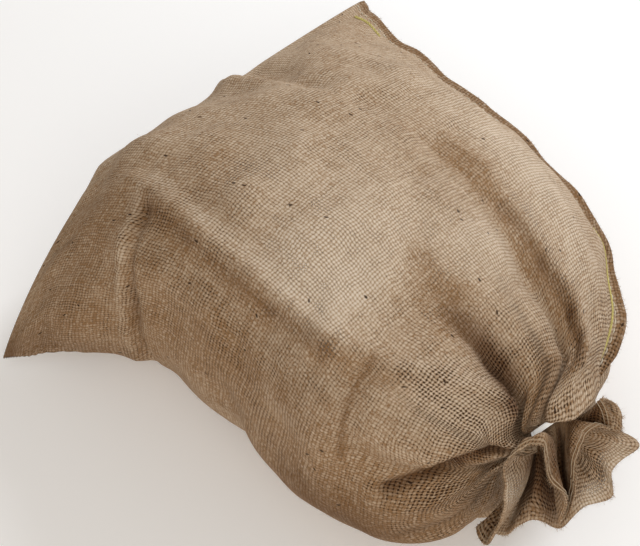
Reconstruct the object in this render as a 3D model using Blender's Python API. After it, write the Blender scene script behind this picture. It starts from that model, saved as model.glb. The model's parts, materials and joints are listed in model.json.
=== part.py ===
"""A filled burlap sack lying on its side, its gathered mouth held by a flat tie.

Metres, +Z up. The mouth points towards -Y and the side seam lies towards +X. The origin is
under the middle of the object's box, on the surface that the sack rests on.

The cloth is one skin, followed along its warp from the sewn bottom edge to the neck, and on
through the tie to the hem of the mouth. Each cross-section starts at the side seam, runs over
the top to the folded side and comes back underneath, so a share of 0 is the seam, about 0.25
the top and about 0.5 the folded side.
"""

import math

import bmesh
import bpy
import numpy as np

# Driving sizes
SACK_WIDTH = 0.450           # flat, from the folded side to the side seam
TIE_AT = 0.500               # along the cloth, from the bottom edge to the tie
NECK_CENTRE = (0.006, -0.217, 0.098)
NECK_RADIUS = 0.0165
NECK_LENGTH = 0.008          # straight part of the neck, in the tie
NECK_YAW = math.radians(8.5)     # the neck turns to the folded side
NECK_DROOP = math.radians(19.0)  # and points a little downwards
CLOTH_THICKNESS = 0.0022
SEAM_ALLOWANCE = 0.008       # width of the sewn double edge that stands out at the side seam
SEAM_THICKNESS = 0.0036
SEAM_SAG = math.radians(12.0)    # the allowance hangs a little
SEAM_END = 0.015             # the allowance is drawn in this far before the tie
SEAM_FADE = 0.040
SEAM_STUB = 0.0004
# The side seam's course over the filled body: along, and its share above the widest point
SEAM_COURSE = ((0.0, 0.0), (0.070, 0.004), (0.120, 0.013), (0.170, 0.021), (0.240, 0.027),
               (0.290, 0.025), (0.335, 0.015), (0.375, 0.000), (0.500, 0.000))
THROAT_DEPTH = 0.002         # hollow of the packed cloth inside the neck
TIE_WIDTH = 0.0036
TIE_THICKNESS = 0.0014
CLEARANCE = 0.0003

# Mesh fineness
COLUMNS = 92                 # round the body, apart from the seam's own columns
SECTION_POINTS = 800
BODY_ROWS = (0.0, 0.012, 0.030, 0.050, 0.075, 0.100, 0.130, 0.160, 0.190, 0.220, 0.250, 0.280,
             0.310, 0.335, 0.360, 0.380, 0.400, 0.416, 0.430, 0.443, 0.455, 0.466, 0.476,
             0.485, 0.492)
RUFFLE_ROWS = 8
EASING_PASSES = 2            # rounds the inner face where the loose cloth turns sharply
TIE_SIDES = 48

# Cross-sections of the filled body. along: distance on the cloth from the bottom edge.
# y, crown_x, crown_z: the top of the section. floor_z: its underside.
# left_*, right_*: its outermost points on the folded side and at the seam.
# *_back: how far those points, and the underside, stand further along Y than the crown.
# lean: how far the section has turned to stand square to the neck, from 0 to 1.
# *_over, *_under: fullness of each quarter, 1 for a straight line, 2 round, 4 boxy.
STATION_COLUMNS = (
    "along", "y", "left_back", "right_back", "under_back", "lean", "left_x", "left_z",
    "right_x", "right_z", "crown_x", "crown_z", "floor_z", "left_over", "right_over",
    "left_under", "right_under")
STATIONS = (
    (0.000, 0.162, -0.015, -0.003, 0.000, 0.0, -0.201, 0.010, 0.204, 0.097, -0.072, 0.117,
     0.113, 1.15, 1.25, 1.15, 1.25),
    (0.030, 0.145, -0.008, 0.000, 0.000, 0.0, -0.187, 0.010, 0.202, 0.092, -0.058, 0.140,
     0.060, 1.25, 1.35, 1.1, 1.4),
    (0.070, 0.114, -0.006, 0.000, 0.000, 0.0, -0.160, 0.012, 0.199, 0.087, -0.038, 0.161,
     0.012, 1.75, 1.5, 2.0, 1.8),
    (0.110, 0.081, -0.002, 0.000, 0.000, 0.0, -0.140, 0.020, 0.198, 0.085, -0.018, 0.175,
     -0.003, 2.3, 1.7, 3.4, 2.0),
    (0.170, 0.028, 0.000, 0.000, 0.000, 0.0, -0.127, 0.040, 0.192, 0.083, -0.005, 0.190,
     -0.006, 3.0, 1.8, 3.8, 2.2),
    (0.240, -0.040, 0.000, 0.000, 0.000, 0.0, -0.127, 0.052, 0.186, 0.082, 0.000, 0.194,
     -0.006, 3.2, 1.9, 3.0, 2.4),
    (0.310, -0.105, 0.000, 0.004, -0.010, 0.0, -0.136, 0.060, 0.173, 0.082, 0.000, 0.188,
     -0.004, 3.2, 2.0, 3.0, 2.4),
    (0.370, -0.155, 0.000, 0.010, -0.022, 0.0, -0.126, 0.068, 0.152, 0.082, 0.005, 0.174,
     0.000, 2.6, 2.0, 2.6, 2.4),
    (0.420, -0.190, 0.000, 0.009, -0.028, 0.0, -0.100, 0.078, 0.124, 0.085, 0.008, 0.156,
     0.010, 2.2, 2.0, 2.2, 2.2),
    (0.460, -0.210, 0.000, 0.008, -0.016, 0.3, -0.066, 0.090, 0.085, 0.090, 0.008, 0.138,
     0.032, 2.0, 2.0, 2.0, 2.0),
    (0.485, -0.216, 0.000, 0.006, 0.000, 0.65, -0.038, 0.096, 0.050, 0.096, 0.008, 0.126,
     0.066, 2.0, 2.0, 2.0, 2.0),
    (0.500, -0.217, 0.000, 0.000, 0.000, 1.0, -0.014, 0.098, 0.026, 0.098, 0.006, 0.118,
     0.078, 2.0, 2.0, 2.0, 2.0),
)

# Gathers that run into the neck. cloth, neck: their share on the open cloth and at the neck.
# reach: how far from the neck they start. depth: share of the local radius that they cut in
# at the neck. width: share of the section that one side of the gather takes.
GATHER_COLUMNS = ("cloth", "neck", "reach", "depth", "width")
GATHERS = (
    (0.035, 0.040, 0.14, 0.60, 0.020),
    (0.165, 0.160, 0.42, 0.70, 0.030),
    (0.222, 0.225, 0.10, 0.50, 0.016),
    (0.277, 0.285, 0.22, 0.70, 0.030),
    (0.365, 0.365, 0.07, 0.45, 0.016),
    (0.455, 0.450, 0.17, 0.68, 0.026),
    (0.540, 0.540, 0.11, 0.55, 0.018),
    (0.620, 0.620, 0.16, 0.60, 0.024),
    (0.710, 0.710, 0.10, 0.55, 0.018),
    (0.800, 0.800, 0.14, 0.60, 0.022),
    (0.890, 0.885, 0.10, 0.55, 0.018),
    (0.960, 0.955, 0.12, 0.55, 0.016),
)
NECK_FLUTE = 0.10            # depth of the gathers inside the tie, as a share of the radius

# Soft folds of the filled body: from one place (share, along) to another, their half width
# and their height, which is negative for a trough.
FOLD_COLUMNS = ("from_share", "from_along", "to_share", "to_along", "width", "height")
FOLDS = (
    (0.335, 0.015, 0.383, 0.170, 0.012, 0.004),    # ridge where the top turns to the side
    (0.383, 0.170, 0.384, 0.290, 0.012, 0.004),
    (0.384, 0.290, 0.331, 0.385, 0.012, 0.005),
    (0.331, 0.385, 0.312, 0.440, 0.010, 0.005),
    (0.372, 0.105, 0.465, 0.132, 0.009, -0.006),   # crease between the near corner and the body
    (0.465, 0.132, 0.575, 0.137, 0.009, -0.006),
    (0.370, 0.336, 0.440, 0.351, 0.009, -0.006),   # short crease under the ridge
    (0.300, 0.000, 0.240, 0.040, 0.022, 0.005),    # full upper part of the bottom edge
    (0.168, 0.000, 0.178, 0.050, 0.011, 0.006),    # lump on the bottom edge
    (0.145, 0.015, 0.172, 0.110, 0.012, -0.004),   # trough from the lump to the long gather
    (0.225, 0.240, 0.262, 0.300, 0.018, -0.005),   # hollow on the top
)

# Hem of the mouth, from the side seam over the top and back underneath: places of its folds
# and tips, measured from the neck's centre.
HEM_COLUMNS = ("x", "y", "z")
HEM = (
    (0.054, -0.023, -0.011),    # loop beside the seam, far edge
    (0.048, -0.012, 0.004),     # its top
    (0.038, -0.029, 0.003),     # its near edge
    (0.019, -0.037, 0.002),     # near flute, rim
    (-0.005, -0.040, -0.003),
    (-0.018, -0.045, -0.010),
    (-0.020, -0.049, -0.024),
    (-0.024, -0.043, -0.036),   # bottom of the valley between the two flutes
    (-0.026, -0.037, -0.021),
    (-0.028, -0.030, -0.006),
    (-0.024, -0.026, 0.010),
    (-0.024, -0.019, 0.024),    # upper flute, rim
    (-0.036, -0.014, 0.022),
    (-0.047, -0.009, 0.011),
    (-0.057, -0.011, -0.001),
    (-0.066, -0.018, -0.019),
    (-0.086, -0.020, -0.048),   # tip by the body
    (-0.064, -0.025, -0.052),
    (-0.041, -0.031, -0.049),
    (-0.029, -0.045, -0.056),   # lowest tip
    (-0.008, -0.044, -0.052),
    (0.014, -0.055, -0.053),    # far tip
    (0.024, -0.046, -0.037),
    (0.049, -0.049, -0.026),    # outermost tip
    (0.046, -0.033, -0.019),
)

BURLAP_COLOUR = (0.36, 0.24, 0.14, 1.0)
TIE_COLOUR = (0.85, 0.84, 0.80, 1.0)


def columns(rows, names):
    """The table as one array per named column."""
    return {name: np.array([row[i] for row in rows], float) for i, name in enumerate(names)}


def ease_between(places, values, place):
    """A curve through the values that never overshoots them."""
    step = np.diff(places)
    slope = np.diff(values) / step
    tangent = np.zeros_like(values)
    for i in range(1, len(values) - 1):
        if slope[i - 1] * slope[i] > 0.0:
            before, after = 2 * step[i] + step[i - 1], step[i] + 2 * step[i - 1]
            tangent[i] = (before + after) / (before / slope[i - 1] + after / slope[i])
    tangent[0], tangent[-1] = slope[0], slope[-1]
    k = min(max(int(np.searchsorted(places, place, side="right")) - 1, 0), len(step) - 1)
    t = (place - places[k]) / step[k]
    return ((2 * t**3 - 3 * t**2 + 1) * values[k] + (t**3 - 2 * t**2 + t) * step[k] * tangent[k]
            + (3 * t**2 - 2 * t**3) * values[k + 1] + (t**3 - t**2) * step[k] * tangent[k + 1])


def neck_frame():
    """The neck's centre, the way out of the mouth, and its right and upper directions."""
    out = np.array([-math.sin(NECK_YAW) * math.cos(NECK_DROOP),
                    -math.cos(NECK_YAW) * math.cos(NECK_DROOP), -math.sin(NECK_DROOP)])
    right = np.cross(out, np.array([0.0, 0.0, 1.0]))
    right = right / np.linalg.norm(right)
    right = right if right[0] > 0.0 else -right
    upper = np.cross(right, out)
    upper = upper if upper[2] > 0.0 else -upper
    return np.array(NECK_CENTRE), out, right, upper


def quarter(crown_x, edge_x, edge_z, end_z, fullness):
    """One quarter of a section, from its edge to its top or underside."""
    turn = np.linspace(0.0, math.pi / 2, SECTION_POINTS // 4 + 1)
    x = crown_x + (edge_x - crown_x) * np.cos(turn) ** (2 / fullness)
    z = edge_z + (end_z - edge_z) * np.sin(turn) ** (2 / fullness)
    return np.stack([x, z], axis=1)


def section(station):
    """Closed outline of the body at one station, from the seam over the top and back."""
    sides = (("right", "crown_z", "over", False), ("left", "crown_z", "over", True),
             ("left", "floor_z", "under", False), ("right", "floor_z", "under", True))
    parts = []
    for side, end, which, backwards in sides:
        points = quarter(station["crown_x"], station[side + "_x"], station[side + "_z"],
                         station[end], station[side + "_" + which])
        parts.append((points[::-1] if backwards else points)[:-1])
    x, z = np.concatenate(parts).T
    height = station["crown_z"] - station["floor_z"]
    left = np.clip((station["crown_x"] - x) / (station["crown_x"] - station["left_x"]), 0, 1)
    right = np.clip((x - station["crown_x"]) / (station["right_x"] - station["crown_x"]), 0, 1)
    under = np.clip((station["crown_z"] - z) / height, 0, 1)
    y = (station["y"] + station["left_back"] * left**2 + station["right_back"] * right**2
         + station["under_back"] * under**2)
    centre, out, _, _ = neck_frame()
    square = -(out[0] * (x - centre[0]) + out[2] * (z - centre[2])) / out[1]
    return np.stack([x, y + station["lean"] * square, np.maximum(z, 0.0)], axis=1)


def distances(points):
    """Length along a closed outline at each point and back at the first one."""
    closed = np.vstack([points, points[:1]])
    steps = np.linalg.norm(np.diff(closed, axis=0), axis=1)
    return np.concatenate([[0.0], np.cumsum(steps)]), closed


def points_at(points, shares):
    """Points at the given shares of a closed outline's length."""
    length, closed = distances(points)
    wanted = (np.asarray(shares) % 1.0) * length[-1]
    return np.stack([np.interp(wanted, length, closed[:, i]) for i in range(3)], axis=1)


def around(a, b):
    """Shortest distance between two shares of a closed outline."""
    return np.abs((a - b + 0.5) % 1.0 - 0.5)


def gathered(outline, along):
    """The outline pulled in where the gathers run, and each gather's place in it."""
    share = np.arange(len(outline)) / len(outline)
    outline = points_at(outline, share)
    pull = np.zeros(len(outline))
    places = []
    for cloth, neck, reach, depth, width in GATHERS:
        near = max(0.0, 1.0 - (TIE_AT - along) / reach)
        place = cloth + (neck - cloth) * near
        soft = 0.25 * width
        across = np.sqrt(around(share, place) ** 2 + soft**2) - soft
        pull = np.maximum(pull, depth * near**1.4 * np.exp(-across / width))
        places.append(place)
    inward = outline.mean(axis=0) - outline
    radius = np.linalg.norm(inward, axis=1, keepdims=True)
    return outline + inward * pull[:, None] * (1.0 - NECK_RADIUS / radius), places


def body_ring(along, shares):
    """Points of the body's skin at one distance along the cloth, for the given cloth shares."""
    table = columns(STATIONS, STATION_COLUMNS)
    station = {name: ease_between(table["along"], table[name], along)
               for name in STATION_COLUMNS[1:]}
    outline, places = gathered(section(station), along)
    length, closed = distances(outline)
    places = np.interp(np.array(places) * len(outline), np.arange(len(length)), length)
    places = list(places / length[-1])
    cloth = [row[0] for row in GATHERS]
    known = [cloth[-1] - 1] + cloth + [cloth[0] + 1]
    found = [places[-1] - 1] + places + [places[0] + 1]
    wanted = np.interp(shares, known, found) % 1.0 * length[-1]
    return np.stack([np.interp(wanted, length, closed[:, i]) for i in range(3)], axis=1)


def normals(grid):
    """Outward unit normals of a closed grid of rows."""
    round_it = np.roll(grid, -1, axis=1) - np.roll(grid, 1, axis=1)
    along_it = np.gradient(grid, axis=0)
    outward = np.cross(round_it, along_it)
    return outward / np.maximum(np.linalg.norm(outward, axis=2, keepdims=True), 1e-9)


def folded(grid, alongs, shares):
    """The body's skin with its soft folds raised and sunk along its normals.

    shares holds the cloth share of each column, row by row.
    """
    outward = normals(grid)
    perimeter = 2 * SACK_WIDTH
    ridges, troughs = np.zeros(grid.shape[:2]), np.zeros(grid.shape[:2])
    for from_share, from_along, to_share, to_along, width, height in FOLDS:
        start = np.array([from_share * perimeter, from_along])
        line = np.array([to_share * perimeter, to_along]) - start
        across = shares * perimeter
        here = np.stack([across, np.broadcast_to(alongs[:, None], across.shape)], axis=2) - start
        t = np.clip(here @ line / (line @ line), 0.0, 1.0)
        off = np.linalg.norm(here - t[..., None] * line, axis=2)
        shape = height * np.exp(-((off / width) ** 2))
        ridges, troughs = np.maximum(ridges, shape), np.minimum(troughs, shape)
    grid = grid + outward * (ridges + troughs)[..., None]
    grid[..., 2] = np.maximum(grid[..., 2], 0.0)
    return grid


def neck_shares(shares):
    """Where the cloth shares lie round the neck."""
    cloth = [row[0] for row in GATHERS]
    neck = [row[1] for row in GATHERS]
    return np.interp(shares, [cloth[-1] - 1] + cloth + [cloth[0] + 1],
                     [neck[-1] - 1] + neck + [neck[0] + 1])


def neck_ring(shares, along_axis):
    """One ring of the gathered neck inside the tie."""
    centre, out, right, upper = neck_frame()
    place = neck_shares(shares)
    flute = np.zeros_like(place)
    for _, neck, _, _, width in GATHERS:
        flute = np.maximum(flute, np.exp(-around(place, neck) / width))
    radius = NECK_RADIUS * (1.0 - NECK_FLUTE * flute)
    turn = 2.0 * math.pi * place
    return (centre + along_axis * out + (radius * np.cos(turn))[:, None] * right
            + (radius * np.sin(turn))[:, None] * upper)


def hem_points(shares):
    """The hem of the mouth: one smooth closed curve through the table's folds and tips."""
    rows = np.array(HEM) + np.array(NECK_CENTRE)
    place = (np.asarray(shares) % 1.0) * len(rows)
    k = np.floor(place).astype(int)
    t = (place - k)[:, None]
    before, here, after, beyond = (rows[(k + i) % len(rows)] for i in (-1, 0, 1, 2))
    return 0.5 * (2 * here + (after - before) * t
                  + (2 * before - 5 * here + 4 * after - beyond) * t**2
                  + (3 * here - before - 3 * after + beyond) * t**3)


def ruffle_rows(shares):
    """The outer face of the loose cloth, row by row from the tie to the hem."""
    centre, out, _, _ = neck_frame()
    start = neck_ring(shares, NECK_LENGTH / 2)
    hem = hem_points(shares)
    away = start - (centre + NECK_LENGTH / 2 * out)
    first = start + 0.016 * out + 0.25 * away
    second = start + 0.024 * out + 0.55 * (hem - start - 0.024 * out)
    rows = []
    for t in np.linspace(0.0, 1.0, RUFFLE_ROWS + 1)[1:]:
        rows.append((1 - t) ** 3 * start + 3 * (1 - t) ** 2 * t * first
                    + 3 * (1 - t) * t**2 * second + t**3 * hem)
    return rows


def column_shares():
    """Cloth shares of the columns: two at each face of the side seam, the rest even."""
    half = 0.5 * SEAM_THICKNESS / (2 * SACK_WIDTH)
    even = [i / COLUMNS for i in range(1, COLUMNS)]
    return np.array([half / 2, half] + even + [1 - half, 1 - half / 2])


def seam_edge(grid, alongs):
    """The grid with its two seam columns drawn out into the seam allowance."""
    seam = 0.5 * (grid[:, 0] + grid[:, -1])
    course = np.gradient(seam, axis=0)
    course /= np.linalg.norm(course, axis=1, keepdims=True)
    outward = np.cross(np.array([0.0, 0.0, 1.0]), course)
    outward /= np.linalg.norm(outward, axis=1, keepdims=True)
    outward *= np.sign(outward[:1, :1])
    outward[:, 2] -= math.tan(SEAM_SAG)
    outward /= np.linalg.norm(outward, axis=1, keepdims=True)
    face = np.cross(course, outward)
    face *= np.sign(face[:, 2:3])
    left = np.clip((TIE_AT - alongs - SEAM_END) / SEAM_FADE, 0.0, 1.0)
    reach = SEAM_ALLOWANCE * left + SEAM_STUB * (1.0 - left)
    half = 0.5 * SEAM_THICKNESS * left + 0.5 * SEAM_STUB * (1.0 - left)
    grid = grid.copy()
    grid[:, 0] = seam + outward * reach[:, None] + face * half[:, None]
    grid[:, -1] = seam + outward * reach[:, None] - face * half[:, None]
    return grid


def eased(grid):
    """The grid with each point moved towards its neighbours round the row."""
    for _ in range(EASING_PASSES):
        grid = 0.5 * grid + 0.25 * (np.roll(grid, 1, axis=1) + np.roll(grid, -1, axis=1))
    return grid


def sack_rows():
    """Rows of the closed skin: bottom edge, body, neck, hem and back inside to the throat."""
    shares = column_shares()
    alongs = np.array(BODY_ROWS)
    course = np.array([ease_between(*np.array(SEAM_COURSE).T, along) for along in BODY_ROWS])
    placed = shares + course[:, None]
    body = np.array([body_ring(along, row) for along, row in zip(BODY_ROWS, placed)])
    body = seam_edge(folded(body, alongs, placed), alongs)
    neck = [neck_ring(shares, t * NECK_LENGTH) for t in (-0.5, 0.5)]
    ruffle = np.array([neck[1]] + ruffle_rows(shares))
    inside = eased(ruffle - eased(normals(ruffle)) * CLOTH_THICKNESS)
    return np.array(list(body) + neck[:1] + list(ruffle) + list(inside[::-1]))


def skin_faces(count_rows, count_columns):
    """Quads between the rows, the strip that closes the bottom edge and the throat's fan."""
    faces = []
    for i in range(count_rows - 1):
        for j in range(count_columns):
            here, beside = i * count_columns, (j + 1) % count_columns
            faces.append((here + j, here + count_columns + j,
                          here + count_columns + beside, here + beside))
    last = count_columns - 1
    for j in range(last // 2 - 1):
        faces.append((j, j + 1, last - j - 1, last - j))
    middle = last // 2
    faces.append((middle - 1, middle, middle + 1))
    throat, end = count_rows * count_columns, (count_rows - 1) * count_columns
    for j in range(count_columns):
        faces.append((end + j, throat, end + (j + 1) % count_columns))
    return faces


def tie_rows(neck_points):
    """Rows of the flat tie: one section of the band at each step round the neck."""
    centre, out, right, upper = neck_frame()
    away = neck_points - centre
    away = away - (away @ out)[:, None] * out
    inner = np.linalg.norm(away, axis=1).max() + CLEARANCE
    edge = 0.3 * TIE_THICKNESS
    profile = [(inner, -TIE_WIDTH / 2), (inner + TIE_THICKNESS - edge, -TIE_WIDTH / 2),
               (inner + TIE_THICKNESS, -TIE_WIDTH / 2 + edge),
               (inner + TIE_THICKNESS, TIE_WIDTH / 2 - edge),
               (inner + TIE_THICKNESS - edge, TIE_WIDTH / 2), (inner, TIE_WIDTH / 2)]
    rows = []
    for i in range(TIE_SIDES):
        turn = 2.0 * math.pi * i / TIE_SIDES
        spoke = math.cos(turn) * right + math.sin(turn) * upper
        rows.append([centre + radius * spoke + offset * out for radius, offset in profile])
    return np.array(rows)


def ring_faces(count_rows, count_columns):
    """Quads of a band whose last row meets its first."""
    faces = []
    for i in range(count_rows):
        here, there = i * count_columns, (i + 1) % count_rows * count_columns
        for j in range(count_columns):
            beside = (j + 1) % count_columns
            faces.append((here + j, here + beside, there + beside, there + j))
    return faces


def material(name, colour, roughness):
    """A plain Principled finish."""
    made = bpy.data.materials.new(name)
    made.use_nodes = True
    shader = made.node_tree.nodes["Principled BSDF"]
    shader.inputs["Base Color"].default_value = colour
    shader.inputs["Roughness"].default_value = roughness
    shader.inputs["Metallic"].default_value = 0.0
    made.diffuse_color = colour
    return made


def solid(name, points, faces, finish):
    """One closed mesh object with its faces pointing out."""
    mesh = bpy.data.meshes.new(name)
    mesh.from_pydata([tuple(point) for point in points], [], faces)
    mesh.validate()
    shape = bmesh.new()
    shape.from_mesh(mesh)
    bmesh.ops.recalc_face_normals(shape, faces=shape.faces)
    if shape.calc_volume(signed=True) < 0.0:
        bmesh.ops.reverse_faces(shape, faces=shape.faces)
    bmesh.ops.triangulate(shape, faces=shape.faces)
    shape.to_mesh(mesh)
    shape.free()
    mesh.shade_smooth()
    mesh.set_sharp_from_angle(angle=math.radians(50.0))
    mesh.materials.append(finish)
    made = bpy.data.objects.new(name, mesh)
    bpy.context.scene.collection.objects.link(made)
    return made


def main():
    """Build the sack and its tie, centred over the origin."""
    for old in list(bpy.data.objects):
        bpy.data.objects.remove(old, do_unlink=True)
    rows = sack_rows()
    centre, out, _, _ = neck_frame()
    throat = centre + (NECK_LENGTH / 2 - THROAT_DEPTH) * out
    sack_points = np.vstack([rows.reshape(-1, 3), throat[None]])
    neck = rows[len(BODY_ROWS):len(BODY_ROWS) + 2].reshape(-1, 3)
    tie = tie_rows(neck)
    everything = np.vstack([sack_points, tie.reshape(-1, 3)])
    low, high = everything.min(axis=0), everything.max(axis=0)
    shift = np.array([-(low[0] + high[0]) / 2, -(low[1] + high[1]) / 2, -low[2]])
    solid("sack", sack_points + shift, skin_faces(*rows.shape[:2]),
          material("burlap", BURLAP_COLOUR, 0.95))
    solid("tie", tie.reshape(-1, 3) + shift, ring_faces(*tie.shape[:2]),
          material("white_tie", TIE_COLOUR, 0.5))


main()
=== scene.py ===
"""Looks of a filled burlap sack that lies on its side, its gathered mouth held by a flat tie.

Metres, +Z up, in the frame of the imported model. The mouth points towards -Y and the side seam
lies towards +X. The cloth is followed along its warp from the sewn bottom edge to the tie and on
to the hem of the mouth. Each ring of it starts at the side seam, runs over the top to the folded
side and comes back underneath, so a share of 0 is the seam, about 0.25 the top and about 0.5 the
folded side.
"""

import json
import logging
import math
from dataclasses import dataclass, field
from enum import Enum
from functools import partialmethod
from typing import Sequence

import bpy
import numpy as np
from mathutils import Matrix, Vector

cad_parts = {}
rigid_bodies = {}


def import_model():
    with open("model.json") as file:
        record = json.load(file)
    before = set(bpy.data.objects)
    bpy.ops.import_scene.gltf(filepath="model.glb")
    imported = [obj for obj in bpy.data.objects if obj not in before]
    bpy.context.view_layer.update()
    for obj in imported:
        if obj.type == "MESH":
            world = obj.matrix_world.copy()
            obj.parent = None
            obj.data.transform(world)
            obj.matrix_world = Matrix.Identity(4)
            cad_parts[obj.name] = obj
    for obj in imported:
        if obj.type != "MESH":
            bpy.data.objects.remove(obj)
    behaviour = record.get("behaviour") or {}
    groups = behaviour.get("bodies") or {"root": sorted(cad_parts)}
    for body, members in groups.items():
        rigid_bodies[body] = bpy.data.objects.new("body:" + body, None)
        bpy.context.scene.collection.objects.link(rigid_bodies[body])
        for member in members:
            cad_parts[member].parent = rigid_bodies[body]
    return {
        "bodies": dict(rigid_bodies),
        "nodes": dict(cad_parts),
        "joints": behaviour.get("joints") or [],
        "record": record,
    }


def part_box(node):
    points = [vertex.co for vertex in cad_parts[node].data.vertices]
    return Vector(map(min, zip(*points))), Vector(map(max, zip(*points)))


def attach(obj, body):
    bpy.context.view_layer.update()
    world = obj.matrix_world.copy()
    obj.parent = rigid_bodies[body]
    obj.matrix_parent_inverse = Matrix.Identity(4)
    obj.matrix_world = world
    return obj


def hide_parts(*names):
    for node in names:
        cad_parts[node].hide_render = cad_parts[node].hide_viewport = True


LOG = logging.getLogger("burlap_sack")
BODY = "root"
Colour = tuple[float, float, float, float]
# How far from its line, in widths, the top of a crisp fold is still round
CRISP_TIP = 0.3


# ------------------------------------------------------------------ small helpers


def soft_step(value: np.ndarray | float) -> np.ndarray:
    """A smooth rise from 0 to 1 as the value goes from 0 to 1."""
    t = np.clip(value, 0.0, 1.0)
    return t * t * (3.0 - 2.0 * t)


def unit(vectors: np.ndarray) -> np.ndarray:
    """The vectors at length 1."""
    return vectors / np.maximum(np.linalg.norm(vectors, axis=-1, keepdims=True), 1e-9)


def around(a: np.ndarray | float, b: np.ndarray | float) -> np.ndarray:
    """Shortest distance between two shares of a closed ring."""
    return np.abs((a - b + 0.5) % 1.0 - 0.5)


def length_along(line: np.ndarray) -> np.ndarray:
    """Length along a line at each of its points, from 0 at the first."""
    return np.concatenate([[0.0], np.cumsum(np.linalg.norm(np.diff(line, axis=0), axis=1))])


def lengths_down(grid: np.ndarray) -> np.ndarray:
    """Length down each column of a grid at each of its rows, from 0 at the first."""
    return np.cumsum(np.linalg.norm(np.diff(grid, axis=0, prepend=grid[:1]), axis=2), axis=0)


def closed(ring: np.ndarray) -> np.ndarray:
    """The ring with its first point once more at its end."""
    return np.concatenate([ring, ring[:1]])


def wrapped(places: np.ndarray) -> np.ndarray:
    """Places in a closed ring, with the last one turn back before and the first one turn on after."""
    return np.concatenate([places[-1:] - 1.0, places, places[:1] + 1.0])


def points_at(line: np.ndarray, lengths: np.ndarray, wanted: np.ndarray | float) -> np.ndarray:
    """Points of a line at the wanted lengths along it, given the lengths of its own points."""
    return np.stack([np.interp(wanted, lengths, line[:, i]) for i in range(3)], axis=-1)


def outward_normals(grid: np.ndarray) -> np.ndarray:
    """Outward unit normals of a grid of closed rings."""
    round_it = np.roll(grid, -1, axis=1) - np.roll(grid, 1, axis=1)
    return unit(np.cross(round_it, np.gradient(grid, axis=0)))


def eased(grid: np.ndarray, passes: int) -> np.ndarray:
    """The grid with each point moved towards its neighbours round the ring."""
    for _ in range(passes):
        grid = 0.5 * grid + 0.25 * (np.roll(grid, 1, axis=1) + np.roll(grid, -1, axis=1))
    return grid


def ease_rows(grid: np.ndarray, passes: int) -> None:
    """Move the points of all but the end rows towards those in the rows beside them."""
    for _ in range(passes):
        grid[1:-1] = 0.5 * grid[1:-1] + 0.25 * (grid[:-2] + grid[2:])


def corners_of(rows: int, count: int) -> tuple[np.ndarray, np.ndarray]:
    """Row and column numbers of the corners of every face of a grid of closed rings.

    Args:
        rows: How many rings there are.
        count: How many points each has.

    Returns:
        Two arrays with one line of four corners a face. A column number of count stands for the
        first point once more.
    """
    i, j = np.meshgrid(np.arange(rows - 1), np.arange(count), indexing="ij")
    return (np.stack([i, i + 1, i + 1, i], axis=-1).reshape(-1, 4),
            np.stack([j, j, j + 1, j + 1], axis=-1).reshape(-1, 4))


def deselect() -> None:
    """Leave nothing selected."""
    for thing in list(bpy.context.scene.objects):
        thing.select_set(False)


def new_object(name: str, points: np.ndarray, faces: Sequence[tuple[int, ...]],
               finish: bpy.types.Material | None = None) -> bpy.types.Object:
    """A mesh object at the origin, shaded smooth.

    Args:
        name: Name of the object and of its mesh.
        points: Its vertices, in metres.
        faces: Vertex numbers of each face.
        finish: Its material.

    Returns:
        The object, linked to the scene.
    """
    mesh = bpy.data.meshes.new(name)
    mesh.from_pydata(points.tolist(), [], faces)
    mesh.shade_smooth()
    if finish is not None:
        mesh.materials.append(finish)
    made = bpy.data.objects.new(name, mesh)
    bpy.context.scene.collection.objects.link(made)
    return made


def point_attribute(thing: bpy.types.Object, name: str, values: np.ndarray) -> None:
    """Keep one number a vertex on the mesh, for its material to read."""
    made = thing.data.attributes.new(name, "FLOAT", "POINT")
    made.data.foreach_set("value", values.astype(np.float32).ravel())


# ------------------------------------------------------------------ shape of the cloth


@dataclass(frozen=True)
class Station:
    """One cross-section of the filled body.

    along is the distance on the cloth from the bottom edge. y, crown_x and crown_z are the top of
    the section and floor_z its underside. left_* and right_* are its outermost points on the
    folded side and at the seam. *_back say how far those points, and the underside, stand further
    along Y than the crown. lean says how far the section has turned to stand square to the neck.
    *_over and *_under are the fullness of each quarter: 1 for a straight line, 2 round, 4 boxy.
    """

    along: float
    y: float
    left_back: float
    right_back: float
    under_back: float
    lean: float
    left_x: float
    left_z: float
    right_x: float
    right_z: float
    crown_x: float
    crown_z: float
    floor_z: float
    left_over: float
    right_over: float
    left_under: float
    right_under: float


@dataclass(frozen=True)
class Gather:
    """A gather that runs into the neck.

    cloth and neck are its share on the open cloth and at the neck, reach is how far from the neck
    it starts, and depth the share of the local radius that it cuts in at the neck. width is the
    share of the ring that its side towards the seam takes, and beyond that of its other side.
    """

    cloth: float
    neck: float
    reach: float
    depth: float
    width: float
    beyond: float


class Profile(Enum):
    """How a fold looks from its end."""

    SOFT = "soft"
    CRISP = "crisp"


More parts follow.
